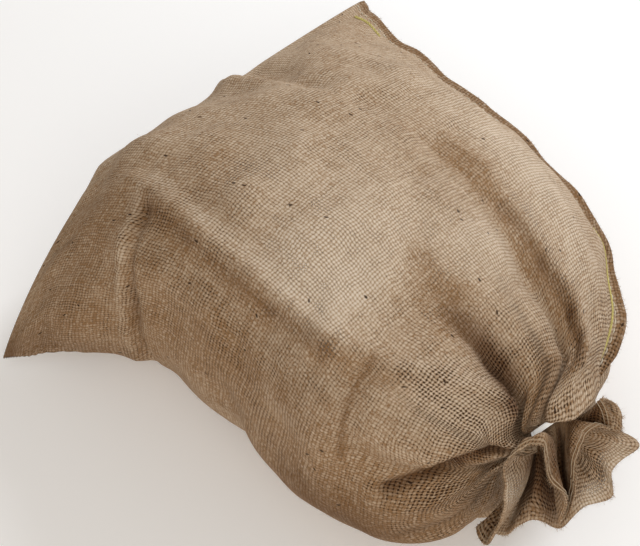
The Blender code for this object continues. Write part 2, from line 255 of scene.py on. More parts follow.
@dataclass(frozen=True)
class Fold:
    """A fold or a streak between two places of the cloth.

    A place is a share of the ring and a distance from the bottom edge. height is in metres for a
    fold, a trough if it is negative, and from -1 to 1 for a streak of colour.
    """

    start: tuple[float, float]
    end: tuple[float, float]
    width: float
    height: float
    profile: Profile = Profile.SOFT

    def weight(self, shares: np.ndarray, alongs: np.ndarray, cloth: float) -> np.ndarray:
        """Height of the fold over the cloth.

        Args:
            shares: Share of the ring, for each point.
            alongs: Distance from the bottom edge, for each point.
            cloth: Length of the cloth all round.

        Returns:
            The height at each point.
        """
        start = np.array([self.start[0] * cloth, self.start[1]])
        line = np.array([self.end[0] * cloth, self.end[1]]) - start
        here = np.stack([shares * cloth, alongs], axis=-1) - start
        t = np.clip(here @ line / (line @ line), 0.0, 1.0)
        off = np.linalg.norm(here - t[..., None] * line, axis=-1) / self.width
        if self.profile is Profile.SOFT:
            return self.height * np.exp(-(off**2))
        return self.height * np.exp(CRISP_TIP - np.sqrt(off**2 + CRISP_TIP**2))


@dataclass(frozen=True)
class Patch:
    """A round patch of the cloth: its place, how far it reaches, and how strong it is."""

    share: float
    along: float
    across_reach: float
    along_reach: float
    strength: float

    def weight(self, shares: np.ndarray, alongs: np.ndarray, cloth: float) -> np.ndarray:
        """Strength of the patch at each point of the cloth."""
        across = around(shares, self.share) * cloth / self.across_reach
        lengthways = (alongs - self.along) / self.along_reach
        return self.strength * np.exp(-(across**2 + lengthways**2))


def chain(course: Sequence[tuple[float, float]], width: float, height: float,
          profile: Profile = Profile.SOFT) -> tuple[Fold, ...]:
    """One fold after the other along a course of places."""
    return tuple(Fold(start, end, width, height, profile) for start, end in zip(course, course[1:]))


def total(marks: Sequence[Fold | Patch], shares: np.ndarray, alongs: np.ndarray,
          cloth: float) -> np.ndarray:
    """What all the marks come to at each point of the cloth."""
    return sum(mark.weight(shares, alongs, cloth) for mark in marks)


STATIONS = tuple(Station(*row) for row in (
    (0.000, 0.162, -0.015, -0.003, 0.000, 0.0, -0.201, 0.010, 0.204, 0.097, -0.072, 0.117,
     0.113, 1.15, 1.25, 1.15, 1.25),
    (0.030, 0.145, -0.008, 0.000, 0.000, 0.0, -0.187, 0.010, 0.202, 0.092, -0.058, 0.140,
     0.060, 1.25, 1.35, 1.1, 1.4),
    (0.070, 0.114, -0.006, 0.000, 0.000, 0.0, -0.160, 0.012, 0.199, 0.087, -0.038, 0.161,
     0.012, 1.75, 1.5, 2.0, 1.8),
    (0.110, 0.081, -0.002, 0.000, 0.000, 0.0, -0.140, 0.020, 0.198, 0.085, -0.018, 0.175,
     -0.003, 2.3, 1.7, 3.4, 2.0),
    (0.170, 0.028, 0.000, 0.000, 0.000, 0.0, -0.127, 0.040, 0.192, 0.083, -0.005, 0.190,
     -0.006, 3.0, 1.8, 3.8, 2.2),
    (0.240, -0.040, 0.000, 0.000, 0.000, 0.0, -0.127, 0.052, 0.186, 0.082, 0.000, 0.194,
     -0.006, 3.2, 1.9, 3.0, 2.4),
    (0.310, -0.105, 0.000, 0.004, -0.010, 0.0, -0.136, 0.060, 0.173, 0.082, 0.000, 0.188,
     -0.004, 3.2, 2.0, 3.0, 2.4),
    (0.370, -0.155, 0.000, 0.010, -0.022, 0.0, -0.126, 0.068, 0.152, 0.082, 0.005, 0.174,
     0.000, 2.6, 2.0, 2.6, 2.4),
    (0.420, -0.190, 0.000, 0.009, -0.028, 0.0, -0.100, 0.078, 0.124, 0.085, 0.008, 0.156,
     0.010, 2.2, 2.0, 2.2, 2.2),
    (0.460, -0.210, 0.000, 0.008, -0.016, 0.3, -0.066, 0.090, 0.085, 0.090, 0.008, 0.138,
     0.032, 2.0, 2.0, 2.0, 2.0),
    (0.485, -0.216, 0.000, 0.006, 0.000, 0.65, -0.038, 0.096, 0.050, 0.096, 0.008, 0.126,
     0.066, 2.0, 2.0, 2.0, 2.0),
    (0.500, -0.217, 0.000, 0.000, 0.000, 1.0, -0.014, 0.098, 0.026, 0.098, 0.006, 0.118,
     0.078, 2.0, 2.0, 2.0, 2.0),
))

GATHERS = tuple(Gather(*row) for row in (
    (0.035, 0.020, 0.14, 0.50, 0.020, 0.020),
    (0.166, 0.290, 0.40, 0.46, 0.016, 0.034),
    (0.168, 0.292, 0.13, 0.72, 0.014, 0.028),
    (0.222, 0.330, 0.08, 0.30, 0.012, 0.012),
    (0.290, 0.375, 0.21, 0.74, 0.032, 0.016),
    (0.365, 0.410, 0.07, 0.30, 0.012, 0.012),
    (0.440, 0.445, 0.17, 0.70, 0.016, 0.026),
    (0.540, 0.510, 0.11, 0.55, 0.018, 0.018),
    (0.620, 0.600, 0.16, 0.60, 0.024, 0.024),
    (0.710, 0.700, 0.10, 0.55, 0.018, 0.018),
    (0.800, 0.785, 0.14, 0.60, 0.022, 0.022),
    (0.890, 0.855, 0.10, 0.55, 0.018, 0.018),
    (0.960, 0.925, 0.12, 0.55, 0.016, 0.016),
))

# Folds that the frame's solid has too
MAIN_FOLDS = (
    *chain(((0.335, 0.015), (0.383, 0.170), (0.384, 0.290)), 0.012, 0.004),
    Fold((0.384, 0.290), (0.331, 0.385), 0.012, 0.005),
    Fold((0.331, 0.385), (0.312, 0.440), 0.010, 0.005),
    *chain(((0.376, 0.100), (0.465, 0.128), (0.575, 0.137)), 0.007, -0.0032),
    Fold((0.370, 0.336), (0.440, 0.351), 0.009, -0.003),
    Fold((0.300, 0.000), (0.240, 0.040), 0.022, 0.005),
    Fold((0.168, 0.000), (0.178, 0.050), 0.011, 0.006),
    Fold((0.145, 0.015), (0.172, 0.110), 0.012, -0.004),
    Fold((0.225, 0.240), (0.262, 0.300), 0.018, -0.005),
)

# The side seam's course over the filled body: along, and its share above the widest point
SEAM_COURSE = ((0.0, 0.0), (0.070, 0.004), (0.120, 0.013), (0.170, 0.021), (0.240, 0.027),
               (0.290, 0.025), (0.335, 0.015), (0.375, 0.000), (0.500, 0.000))


@dataclass(frozen=True)
class MouthFold:
    """A fold or tip of the mouth.

    share is its place in the ring, hem the end of the cloth, and rise a point over which the
    cloth runs to it. Both are measured from the neck's centre.
    """

    share: float
    hem: tuple[float, float, float]
    rise: tuple[float, float, float]


# The mouth from the side seam over the top and back underneath
MOUTH = tuple(MouthFold(*row) for row in (
    (0.985, (0.046, -0.033, -0.013), (0.042, -0.021, -0.006)),  # far edge of the loop beside the seam
    (0.020, (0.050, -0.023, -0.003), (0.044, -0.016, 0.003)),  # its top
    (0.045, (0.041, -0.016, 0.008), (0.035, -0.015, 0.009)),
    (0.065, (0.036, -0.026, 0.008), (0.029, -0.017, 0.010)),  # its near edge
    (0.085, (0.030, -0.034, 0.001), (0.028, -0.019, -0.008)),  # valley beside it
    (0.105, (0.023, -0.029, 0.008), (0.018, -0.018, 0.011)),  # near flute, rim
    (0.130, (0.008, -0.028, 0.008), (0.005, -0.019, 0.018)),
    (0.155, (-0.006, -0.033, 0.003), (-0.006, -0.022, 0.012)),
    (0.180, (-0.014, -0.040, -0.008), (-0.011, -0.025, -0.002)),
    (0.200, (-0.018, -0.044, -0.022), (-0.011, -0.023, -0.017)),
    # bottom of the valley between the two flutes
    (0.220, (-0.020, -0.045, -0.039), (-0.002, -0.011, -0.024)),
    (0.240, (-0.032, -0.047, -0.039), (-0.014, -0.017, -0.012)),  # foot of the upper flute
    (0.262, (-0.025, -0.044, -0.016), (-0.024, -0.030, 0.000)),
    (0.288, (-0.031, -0.031, -0.000), (-0.024, -0.027, 0.014)),
    (0.314, (-0.029, -0.023, 0.014), (-0.020, -0.020, 0.029)),
    (0.340, (-0.025, -0.016, 0.024), (-0.020, -0.013, 0.043)),  # upper flute, rim
    (0.370, (-0.032, -0.010, 0.025), (-0.028, -0.005, 0.042)),
    (0.405, (-0.039, -0.006, 0.020), (-0.035, -0.000, 0.035)),
    (0.440, (-0.049, -0.004, 0.011), (-0.039, -0.002, 0.011)),
    (0.480, (-0.055, -0.011, -0.003), (-0.028, -0.007, -0.015)),
    (0.530, (-0.063, -0.017, -0.023), (-0.029, -0.013, -0.033)),
    (0.580, (-0.078, -0.019, -0.043), (-0.043, -0.014, -0.045)),  # tip by the body
    (0.615, (-0.073, -0.006, -0.044), (-0.041, -0.007, -0.046)),
    (0.660, (-0.059, -0.021, -0.054), (-0.035, -0.015, -0.054)),
    (0.710, (-0.042, -0.030, -0.040), (-0.027, -0.017, -0.017)),  # ridge inside the upper flute
    (0.755, (-0.028, -0.045, -0.053), (-0.013, -0.027, -0.041)),  # lowest tip
    (0.800, (-0.005, -0.046, -0.051), (0.008, -0.031, -0.041)),
    (0.850, (0.016, -0.055, -0.051), (0.018, -0.037, -0.039)),  # far tip
    (0.895, (0.026, -0.045, -0.035), (0.025, -0.030, -0.027)),
    (0.935, (0.048, -0.049, -0.026), (0.034, -0.029, -0.017)),  # outermost tip
    (0.960, (0.045, -0.035, -0.019), (0.037, -0.024, -0.013)),
))


@dataclass
class SackForm:
    """The shape in which the sack's cloth lies, as rings of points.

    Places are worked out in the form's own frame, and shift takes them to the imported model's.
    """

    shift: np.ndarray
    cloth_round: float = 0.900
    tie_at: float = 0.500
    neck_centre: tuple[float, float, float] = (0.006, -0.217, 0.098)
    neck_radius: float = 0.0165
    neck_length: float = 0.008
    neck_yaw: float = math.radians(8.5)
    neck_droop: float = math.radians(19.0)
    neck_flute: float = 0.10
    swirl_from: float = 0.432
    swirl_length: float = 0.048
    gather_growth: float = 1.4
    gather_softness: float = 0.25
    mouth_start: float = 0.007
    mouth_pull: float = 0.30
    section_points: int = 1600
    stations: tuple[Station, ...] = STATIONS
    gathers: tuple[Gather, ...] = GATHERS
    mouth: tuple[MouthFold, ...] = MOUTH
    table: dict[str, np.ndarray] = field(init=False)

    def __post_init__(self) -> None:
        """Turn the stations into one array a column."""
        names = Station.__dataclass_fields__
        self.table = {n: np.array([getattr(s, n) for s in self.stations]) for n in names}

    def between(self, name: str, along: float) -> float:
        """The named column of the stations at one distance along the cloth."""
        return self.ease_between(self.table["along"], self.table[name], along)

    @staticmethod
    def ease_between(places: np.ndarray, values: np.ndarray, along: float) -> float:
        """A curve through the values that never overshoots them.

        Args:
            places: Distances along the cloth where the values hold.
            values: The values.
            along: Distance from the bottom edge.

        Returns:
            The value there.
        """
        step = np.diff(places)
        slope = np.diff(values) / step
        tangent = np.zeros_like(values)
        for i in range(1, len(values) - 1):
            if slope[i - 1] * slope[i] > 0.0:
                before, after = 2 * step[i] + step[i - 1], step[i] + 2 * step[i - 1]
                tangent[i] = (before + after) / (before / slope[i - 1] + after / slope[i])
        tangent[0], tangent[-1] = slope[0], slope[-1]
        k = min(max(int(np.searchsorted(places, along, side="right")) - 1, 0), len(step) - 1)
        t = (along - places[k]) / step[k]
        return ((2 * t**3 - 3 * t**2 + 1) * values[k]
                + (t**3 - 2 * t**2 + t) * step[k] * tangent[k]
                + (3 * t**2 - 2 * t**3) * values[k + 1]
                + (t**3 - t**2) * step[k] * tangent[k + 1])

    def seam_share(self, along: float) -> float:
        """How far above the widest point the side seam lies, as a share of the ring."""
        return self.ease_between(*np.array(SEAM_COURSE).T, along)

    def gather_places(self, name: str) -> np.ndarray:
        """Every gather's place, on the open cloth or at the neck."""
        return np.array([getattr(gather, name) for gather in self.gathers])

    def neck_axes(self) -> tuple[np.ndarray, np.ndarray, np.ndarray, np.ndarray]:
        """The neck's centre, the way out of the mouth, and its right and upper directions."""
        out = np.array([-math.sin(self.neck_yaw) * math.cos(self.neck_droop),
                        -math.cos(self.neck_yaw) * math.cos(self.neck_droop),
                        -math.sin(self.neck_droop)])
        right = unit(np.cross(out, np.array([0.0, 0.0, 1.0])))
        right = right if right[0] > 0.0 else -right
        upper = np.cross(right, out)
        upper = upper if upper[2] > 0.0 else -upper
        return np.array(self.neck_centre), out, right, upper

    def quarter(self, crown_x: float, edge: tuple[float, float], end_z: float,
                fullness: float) -> np.ndarray:
        """One quarter of a section, from its edge to its top or underside."""
        turn = np.linspace(0.0, math.pi / 2, self.section_points // 4 + 1)
        x = crown_x + (edge[0] - crown_x) * np.cos(turn) ** (2 / fullness)
        z = edge[1] + (end_z - edge[1]) * np.sin(turn) ** (2 / fullness)
        return np.stack([x, z], axis=1)

    def section(self, along: float) -> np.ndarray:
        """Closed outline of the body.

        Args:
            along: Distance from the bottom edge.

        Returns:
            Its points, from the seam over the top and back underneath.
        """
        at = {name: self.between(name, along) for name in self.table}
        sides = (("right", "crown_z", "over", False), ("left", "crown_z", "over", True),
                 ("left", "floor_z", "under", False), ("right", "floor_z", "under", True))
        parts = []
        for side, end, which, backwards in sides:
            points = self.quarter(at["crown_x"], (at[side + "_x"], at[side + "_z"]), at[end],
                                  at[side + "_" + which])
            parts.append((points[::-1] if backwards else points)[:-1])
        x, z = np.concatenate(parts).T
        left = np.clip((at["crown_x"] - x) / (at["crown_x"] - at["left_x"]), 0, 1)
        right = np.clip((x - at["crown_x"]) / (at["right_x"] - at["crown_x"]), 0, 1)
        under = np.clip((at["crown_z"] - z) / (at["crown_z"] - at["floor_z"]), 0, 1)
        y = (at["y"] + at["left_back"] * left**2 + at["right_back"] * right**2
             + at["under_back"] * under**2)
        centre, out, _, _ = self.neck_axes()
        square = -(out[0] * (x - centre[0]) + out[2] * (z - centre[2])) / out[1]
        return np.stack([x, y + at["lean"] * square, np.maximum(z, 0.0)], axis=1)

    def gathered(self, outline: np.ndarray, along: float) -> tuple[np.ndarray, np.ndarray]:
        """The outline pulled in where the gathers run.

        Args:
            outline: Points of the outline.
            along: Distance from the bottom edge.

        Returns:
            The new points, and each gather's place among them as a share of the ring.
        """
        share = np.arange(len(outline)) / len(outline)
        line = closed(outline)
        length = length_along(line)
        outline = points_at(line, length, share * length[-1])
        pull = np.zeros(len(outline))
        places = []
        for gather in self.gathers:
            near = max(0.0, 1.0 - (self.tie_at - along) / gather.reach)
            swirl = float(soft_step((along - self.swirl_from) / self.swirl_length))
            place = gather.cloth + (gather.neck - gather.cloth) * swirl
            offset = (share - place + 0.5) % 1.0 - 0.5
            width = np.where(offset < 0.0, gather.width, gather.beyond)
            soft = self.gather_softness * width
            across = np.sqrt(offset**2 + soft**2) - soft
            cut = gather.depth * near**self.gather_growth
            pull = np.maximum(pull, cut * np.exp(-across / width))
            places.append(place)
        inward = outline.mean(axis=0) - outline
        radius = np.linalg.norm(inward, axis=1, keepdims=True)
        pulled = outline + inward * pull[:, None] * (1.0 - self.neck_radius / radius)
        return pulled, np.array(places)

    def body_ring(self, along: float, shares: np.ndarray) -> np.ndarray:
        """Points of the body at one distance along the cloth, for the given cloth shares."""
        outline, places = self.gathered(self.section(along), along)
        line = closed(outline)
        length = length_along(line)
        found = np.interp(places * len(outline), np.arange(len(length)), length) / length[-1]
        wanted = np.interp(shares, wrapped(self.gather_places("cloth")), wrapped(found)) % 1.0
        return points_at(line, length, wanted * length[-1])

    def neck_shares(self, shares: np.ndarray) -> np.ndarray:
        """Where the cloth shares lie round the neck."""
        return np.interp(shares, wrapped(self.gather_places("cloth")),
                         wrapped(self.gather_places("neck")))

    def neck_ring(self, place: np.ndarray, beyond: float) -> np.ndarray:
        """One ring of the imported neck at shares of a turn, this far beyond the tie's middle."""
        centre, out, right, upper = self.neck_axes()
        flute = np.zeros_like(place)
        for gather in self.gathers:
            flute = np.maximum(flute, np.exp(-around(place, gather.neck) / gather.width))
        radius = self.neck_radius * (1.0 - self.neck_flute * flute)
        turn = 2.0 * math.pi * place
        return (centre + beyond * out + (radius * np.cos(turn))[:, None] * right
                + (radius * np.sin(turn))[:, None] * upper)

    def mouth_curve(self, name: str, shares: np.ndarray) -> np.ndarray:
        """One smooth closed curve through the mouth's folds, of their hems or of their rises."""
        rows = np.array([getattr(fold, name) for fold in self.mouth]) + np.array(self.neck_centre)
        marks = np.array([fold.share for fold in self.mouth])
        marks[0] -= 1.0 if marks[0] > marks[1] else 0.0
        count = len(rows)
        place = np.interp(marks[0] + (shares - marks[0]) % 1.0, np.append(marks, marks[0] + 1.0),
                          np.arange(count + 1))
        k = np.floor(place).astype(int)
        t = (place - k)[:, None]
        before, here, after, beyond = (rows[(k + i) % count] for i in (-1, 0, 1, 2))
        return 0.5 * (2 * here + (after - before) * t
                      + (2 * before - 5 * here + 4 * after - beyond) * t**2
                      + (3 * here - before - 3 * after + beyond) * t**3)

    def mouth_rings(self, shares: np.ndarray, steps: np.ndarray) -> np.ndarray:
        """The loose cloth of the mouth, from the tie (step 0) to the hem (step 1)."""
        _, out, _, _ = self.neck_axes()
        start = self.neck_ring(shares, self.neck_length / 2)
        hem, rise = self.mouth_curve("hem", shares), self.mouth_curve("rise", shares)
        ahead = self.mouth_start * out
        first = start + ahead + self.mouth_pull * (rise - start - ahead)
        return np.array([(1 - t) ** 3 * start + 3 * (1 - t) ** 2 * t * first
                         + 3 * (1 - t) * t**2 * rise + t**3 * hem for t in steps])


# ------------------------------------------------------------------ what only the looks have

# Smaller folds of the cloth: creases, soft ridges and the lumps of the filling
FINE_FOLDS = (
    Fold((0.160, 0.045), (0.180, 0.130), 0.006, -0.0016, Profile.CRISP),
    Fold((0.150, 0.040), (0.171, 0.120), 0.008, 0.0012),
    Fold((0.300, 0.030), (0.330, 0.130), 0.016, 0.0016),
    Fold((0.420, 0.100), (0.430, 0.250), 0.010, 0.0016),
    Fold((0.455, 0.150), (0.470, 0.330), 0.013, -0.0014),
    Fold((0.392, 0.170), (0.440, 0.240), 0.008, -0.0012),
    Fold((0.330, 0.180), (0.290, 0.260), 0.024, 0.0016),
    Fold((0.190, 0.180), (0.200, 0.330), 0.020, 0.0018),
    Fold((0.110, 0.060), (0.100, 0.230), 0.026, 0.0016),
    Fold((0.090, 0.250), (0.095, 0.400), 0.016, 0.0016),
    Fold((0.411, 0.430), (0.489, 0.480), 0.007, -0.0018),
    Fold((0.444, 0.400), (0.497, 0.360), 0.008, -0.0014),
    Fold((0.400, 0.400), (0.470, 0.420), 0.006, 0.0012),
    Fold((0.520, 0.200), (0.530, 0.340), 0.018, 0.0020),
    Fold((0.600, 0.090), (0.640, 0.040), 0.016, 0.0020),
    Fold((0.900, 0.050), (0.890, 0.180), 0.018, 0.0020),
    Fold((0.940, 0.200), (0.950, 0.330), 0.014, -0.0016),
    Fold((0.045, 0.110), (0.060, 0.230), 0.012, -0.0012),
    # edge of the long ridge on the folded side
    *chain(((0.348, 0.066), (0.377, 0.155), (0.382, 0.250), (0.371, 0.305)),
           0.007, 0.0042, Profile.CRISP),
    Fold((0.371, 0.305), (0.350, 0.352), 0.006, 0.0034, Profile.CRISP),
    Fold((0.350, 0.352), (0.326, 0.405), 0.006, 0.0036, Profile.CRISP),
    Fold((0.326, 0.405), (0.318, 0.430), 0.006, 0.0030, Profile.CRISP),
    # pinched tuck at the corner: a narrow ridge with a dark line beside it
    *chain(((0.358, 0.084), (0.419, 0.105), (0.560, 0.124)), 0.005, 0.0028, Profile.CRISP),
    *chain(((0.372, 0.098), (0.419, 0.117), (0.560, 0.137)), 0.004, -0.0024, Profile.CRISP),
    Fold((0.360, 0.091), (0.322, 0.079), 0.008, 0.0018),
    Fold((0.322, 0.079), (0.285, 0.088), 0.009, 0.0014),
    Fold((0.357, 0.070), (0.334, 0.016), 0.008, -0.0014),
    # crease down the front, and the gap under the big lobe beside the neck
    Fold((0.358, 0.333), (0.455, 0.349), 0.004, -0.0015, Profile.CRISP),
    *chain(((0.470, 0.388), (0.413, 0.430), (0.358, 0.467)), 0.007, -0.0070),
    Fold((0.494, 0.401), (0.471, 0.450), 0.009, 0.0030),
    # fold edge over the neck's right lobe
    *chain(((0.146, 0.220), (0.142, 0.350), (0.134, 0.410)), 0.006, 0.0038, Profile.CRISP),
    Fold((0.134, 0.410), (0.118, 0.455), 0.006, 0.0034, Profile.CRISP),
    Fold((0.154, 0.300), (0.138, 0.445), 0.005, -0.0024),
)


# Where the threads have been pulled apart
OPEN_PATCHES = (
    Patch(0.345, 0.375, 0.016, 0.022, 0.76),
    Patch(0.333, 0.415, 0.022, 0.030, 0.70),
    Patch(0.320, 0.455, 0.030, 0.016, 0.80),
    Patch(0.352, 0.435, 0.035, 0.022, 0.60),
    Patch(0.280, 0.395, 0.018, 0.022, 0.60),
    Patch(0.455, 0.240, 0.035, 0.050, 0.30),
    Patch(0.318, 0.142, 0.030, 0.030, 0.35),
    Patch(0.410, 0.150, 0.020, 0.050, 0.30),
    Patch(0.224, 0.425, 0.015, 0.035, 0.55),
    Patch(0.137, 0.350, 0.008, 0.060, 0.50),
    Patch(0.328, 0.245, 0.040, 0.040, 0.15),
    Patch(0.440, 0.430, 0.030, 0.020, 0.70),
    Patch(0.470, 0.440, 0.040, 0.030, 0.70),
    Patch(0.230, 0.400, 0.020, 0.030, 0.20),
    Patch(0.250, 0.585, 0.120, 0.018, 0.30),
    Patch(0.858, 0.541, 0.026, 0.012, 1.00),
    Patch(0.500, 0.535, 0.050, 0.014, 0.30),
)
# Where the pale filling shows between the threads, and where the threads themselves are painted paler
# as a sheen where the light falls
FILLING_AND_SHEEN_PATCHES = (
    Patch(0.330, 0.264, 0.045, 0.048, 1.0),
    Patch(0.345, 0.250, 0.020, 0.040, 0.5),
    Patch(0.262, 0.262, 0.034, 0.040, 0.5),
    Patch(0.212, 0.320, 0.040, 0.040, 0.7),
    Patch(0.285, 0.180, 0.060, 0.040, 0.35),
    Patch(0.100, 0.320, 0.030, 0.110, 0.75),
    Patch(0.095, 0.220, 0.030, 0.080, 0.25),
)
# Where its threads are browner: the folded side, the underside, the bottom edge and a few stains,
# partly as painted warm shade. The browner lines along the fold edges, the front crease and under the
# big lobe by the neck are painted shade. A strength below zero makes them paler: painted highlights
# along the long ridge, the tuck and the top of the big lobe
BROWN_AND_PAINTED_LIGHT_PATCHES = (
    Patch(0.480, 0.100, 0.090, 0.110, 0.9),
    Patch(0.500, 0.300, 0.080, 0.160, 0.7),
    Patch(0.560, 0.420, 0.120, 0.060, 0.8),
    Patch(0.380, 0.040, 0.060, 0.050, 0.6),
    Patch(0.230, 0.450, 0.060, 0.030, 0.6),
    Patch(0.145, 0.258, 0.012, 0.030, 0.8),
    Patch(0.265, 0.300, 0.012, 0.022, 0.7),
    Patch(0.262, 0.337, 0.014, 0.016, 0.6),
    Patch(0.540, 0.350, 0.030, 0.060, 0.5),
    Fold((0.358, 0.333), (0.455, 0.349), 0.0026, 0.6),
    *chain(((0.374, 0.100), (0.390, 0.160), (0.395, 0.250), (0.383, 0.305)), 0.009, 0.8),
    Fold((0.383, 0.305), (0.358, 0.360), 0.008, 0.6),
    *chain(((0.160, 0.235), (0.155, 0.350), (0.146, 0.410)), 0.011, 0.9),
    Fold((0.146, 0.410), (0.132, 0.452), 0.010, 0.9),
    Patch(0.220, 0.445, 0.040, 0.026, 0.5),
    Patch(0.286, 0.332, 0.024, 0.032, 0.75),
    Patch(0.352, 0.400, 0.024, 0.042, -0.8),
    Patch(0.450, 0.235, 0.040, 0.050, 0.35),
    Patch(0.329, 0.133, 0.040, 0.040, 0.35),
    Fold((0.466, 0.396), (0.362, 0.468), 0.012, 0.9),
    *chain(((0.342, 0.080), (0.367, 0.157), (0.372, 0.250), (0.361, 0.303)), 0.006, -0.6),
    *chain(((0.358, 0.084), (0.419, 0.105), (0.540, 0.122)), 0.004, -0.7),
)
# Where the cloth is painted darker as shade: in the depths of folds and creases, under the lobes by
# the neck and on the folded side
PAINTED_SHADE_PATCHES = (
    Patch(0.280, 0.352, 0.012, 0.018, 0.5),
    Patch(0.278, 0.382, 0.016, 0.022, 0.9),
    Patch(0.279, 0.412, 0.016, 0.020, 0.8),
    Fold((0.286, 0.400), (0.313, 0.434), 0.011, 1.0),
    Fold((0.313, 0.434), (0.296, 0.444), 0.006, 0.6),
    Fold((0.153, 0.300), (0.149, 0.360), 0.006, 0.30),
    Fold((0.149, 0.360), (0.141, 0.410), 0.006, 0.45),
    Fold((0.141, 0.410), (0.127, 0.452), 0.006, 0.55),
    Patch(0.215, 0.442, 0.024, 0.024, 0.30),
    Patch(0.490, 0.050, 0.060, 0.050, 0.20),
    Patch(0.515, 0.345, 0.030, 0.070, 0.55),
    Patch(0.505, 0.003, 0.025, 0.012, 0.70),
    Fold((0.515, 0.020), (0.560, 0.110), 0.018, 0.35),
    Fold((0.358, 0.333), (0.455, 0.349), 0.0020, 0.30),
    Fold((0.468, 0.390), (0.413, 0.431), 0.006, 0.9),
    Fold((0.413, 0.431), (0.360, 0.467), 0.007, 1.0),
    *chain(((0.371, 0.100), (0.388, 0.160), (0.393, 0.250), (0.380, 0.305)), 0.005, 0.28),
    Fold((0.370, 0.098), (0.419, 0.117), 0.0025, 0.30),
    Fold((0.419, 0.117), (0.540, 0.135), 0.0025, 0.40),
    Patch(0.545, 0.370, 0.022, 0.070, 0.4),
    Patch(0.367, 0.099, 0.012, 0.020, 0.3),
    Patch(0.420, 0.300, 0.030, 0.050, 0.2),
)
# Where the mouth's inner face is painted dark, as the shade seen down towards the throat
THROAT_SHADE_PATCHES = (
    Patch(0.330, 0.530, 0.060, 0.030, 0.9),
    Patch(0.700, 0.524, 0.060, 0.018, 1.4),
    Patch(0.742, 0.545, 0.022, 0.018, 0.7),
    Patch(0.478, 0.508, 0.060, 0.012, 0.8),
    Patch(0.080, 0.515, 0.080, 0.020, 0.8),
)
# Where the mouth's inner face is painted paler, as light on it where it lies in shade
INNER_LIGHT_PATCHES = (
    Patch(0.500, 0.540, 0.060, 0.026, 0.90),
    Patch(0.660, 0.556, 0.040, 0.014, 0.8),
    Patch(0.820, 0.557, 0.045, 0.014, 1.0),
    Patch(0.910, 0.548, 0.045, 0.018, 0.9),
)
# Where the mouth's outer face is browner, and painted dark as shade in the gaps between its folds
OUTER_BROWN_AND_SHADE_PATCHES = (
    Patch(0.150, 0.525, 0.060, 0.030, 0.5),
    Patch(0.232, 0.522, 0.018, 0.032, 1.6),
    Fold((0.320, 0.514), (0.205, 0.556), 0.012, 1.2),
    Fold((0.092, 0.515), (0.058, 0.521), 0.006, 1.5),
)


@dataclass(frozen=True)
class Settling:
    """A short cloth simulation in which the filled body finds its own small wrinkles.

    The cloth starts a little larger than its filling, is pressed out from inside and buckles. The
    body keeps its size: only the wrinkles are taken from it, and each point moves by no more than
    the cap. Both ends are held.
    """

    columns: int = 104
    row_step: float = 0.0085
    pressure: float = 4.0
    stretch_stiffness: float = 15.0
    frames: int = 20
    spare: float = 0.035
    cap: float = 0.006
    strength: float = 1.3
    smooth_passes: int = 30
    calm_share: float = 0.12
    calm_strength: float = 0.25
    held_end: float = 0.04
    neck_from: float = 0.42

    def moved(self, grid: np.ndarray, alongs: np.ndarray) -> np.ndarray:
        """How far each point of the body moves.

        Args:
            grid: Points of the body, closed rings row by row.
            alongs: Distance of each row from the bottom edge.

        Returns:
            The moves, in the grid's layout.
        """
        rows = np.unique(np.searchsorted(alongs, np.arange(0.0, alongs[-1], self.row_step)))
        picks = np.linspace(0, grid.shape[1], self.columns, endpoint=False).astype(int)
        coarse = grid[np.ix_(rows, picks)]
        move = self.simulated(coarse) - coarse
        wide = move
        for _ in range(self.smooth_passes):
            wide = 0.5 * wide + 0.25 * (np.roll(wide, 1, axis=1) + np.roll(wide, -1, axis=1))
            padded = np.concatenate([wide[:1], wide, wide[-1:]])
            wide = 0.5 * wide + 0.25 * (padded[:-2] + padded[2:])
        move = (move - wide) * self.strength
        size = np.linalg.norm(move, axis=2, keepdims=True)
        move *= np.tanh(size / self.cap) * self.cap / np.maximum(size, 1e-9)
        still = soft_step((alongs[rows] - self.neck_from) / self.held_end)
        ends = soft_step(alongs[rows] / self.held_end) * (1.0 - still)
        calm = soft_step(around(picks / grid.shape[1], 0.0) / self.calm_share)
        calm = self.calm_strength + (1.0 - self.calm_strength) * calm
        move *= ends[:, None, None] * calm[None, :, None]
        places = np.append(picks, grid.shape[1])
        wide = np.array([points_at(closed(row), places, np.arange(grid.shape[1])) for row in move])
        fine = np.stack([points_at(wide[:, j], alongs[rows], alongs)
                         for j in range(grid.shape[1])], axis=1)
        ease_rows(fine, 3)
        return eased(fine, 3)

    def simulated(self, grid: np.ndarray) -> np.ndarray:
        """The coarse body after its cloth simulation.

        Args:
            grid: Points of the coarse body.

        Returns:
            The same points when the simulation ends.
        """
        count_rows, count = grid.shape[:2]
        i, j = corners_of(count_rows, count)
        faces = [tuple(face) for face in (i * count + j % count)[:, (0, 3, 2, 1)].tolist()]
        first = list(range(count))
        last = [(count_rows - 1) * count + k for k in first]
        faces += [tuple(first[::-1]), tuple(last)]
        cloth = new_object("settling", grid.reshape(-1, 3), faces)
        held = cloth.vertex_groups.new(name="held")
        held.add(first + last, 1.0, "REPLACE")
        simulation = cloth.modifiers.new("cloth", "CLOTH")
        setup = simulation.settings
        setup.quality = 6
        setup.mass = 0.3
        setup.tension_stiffness = self.stretch_stiffness
        setup.compression_stiffness = self.stretch_stiffness
        setup.shear_stiffness = 5.0
        setup.bending_stiffness = 0.2
        setup.use_pressure = True
        setup.uniform_pressure_force = self.pressure
        setup.shrink_min = -self.spare
        setup.shrink_max = -self.spare
        setup.vertex_group_mass = held.name
        setup.effector_weights.gravity = 0.0
        scene = bpy.context.scene
        for frame in range(1, self.frames + 1):
            scene.frame_set(frame)
        made = cloth.evaluated_get(bpy.context.evaluated_depsgraph_get())
        points = np.zeros(len(made.data.vertices) * 3)
        made.data.vertices.foreach_get("co", points)
        mesh = cloth.data
        bpy.data.objects.remove(cloth)
        bpy.data.meshes.remove(mesh)
        scene.frame_set(1)
        return points.reshape(grid.shape)


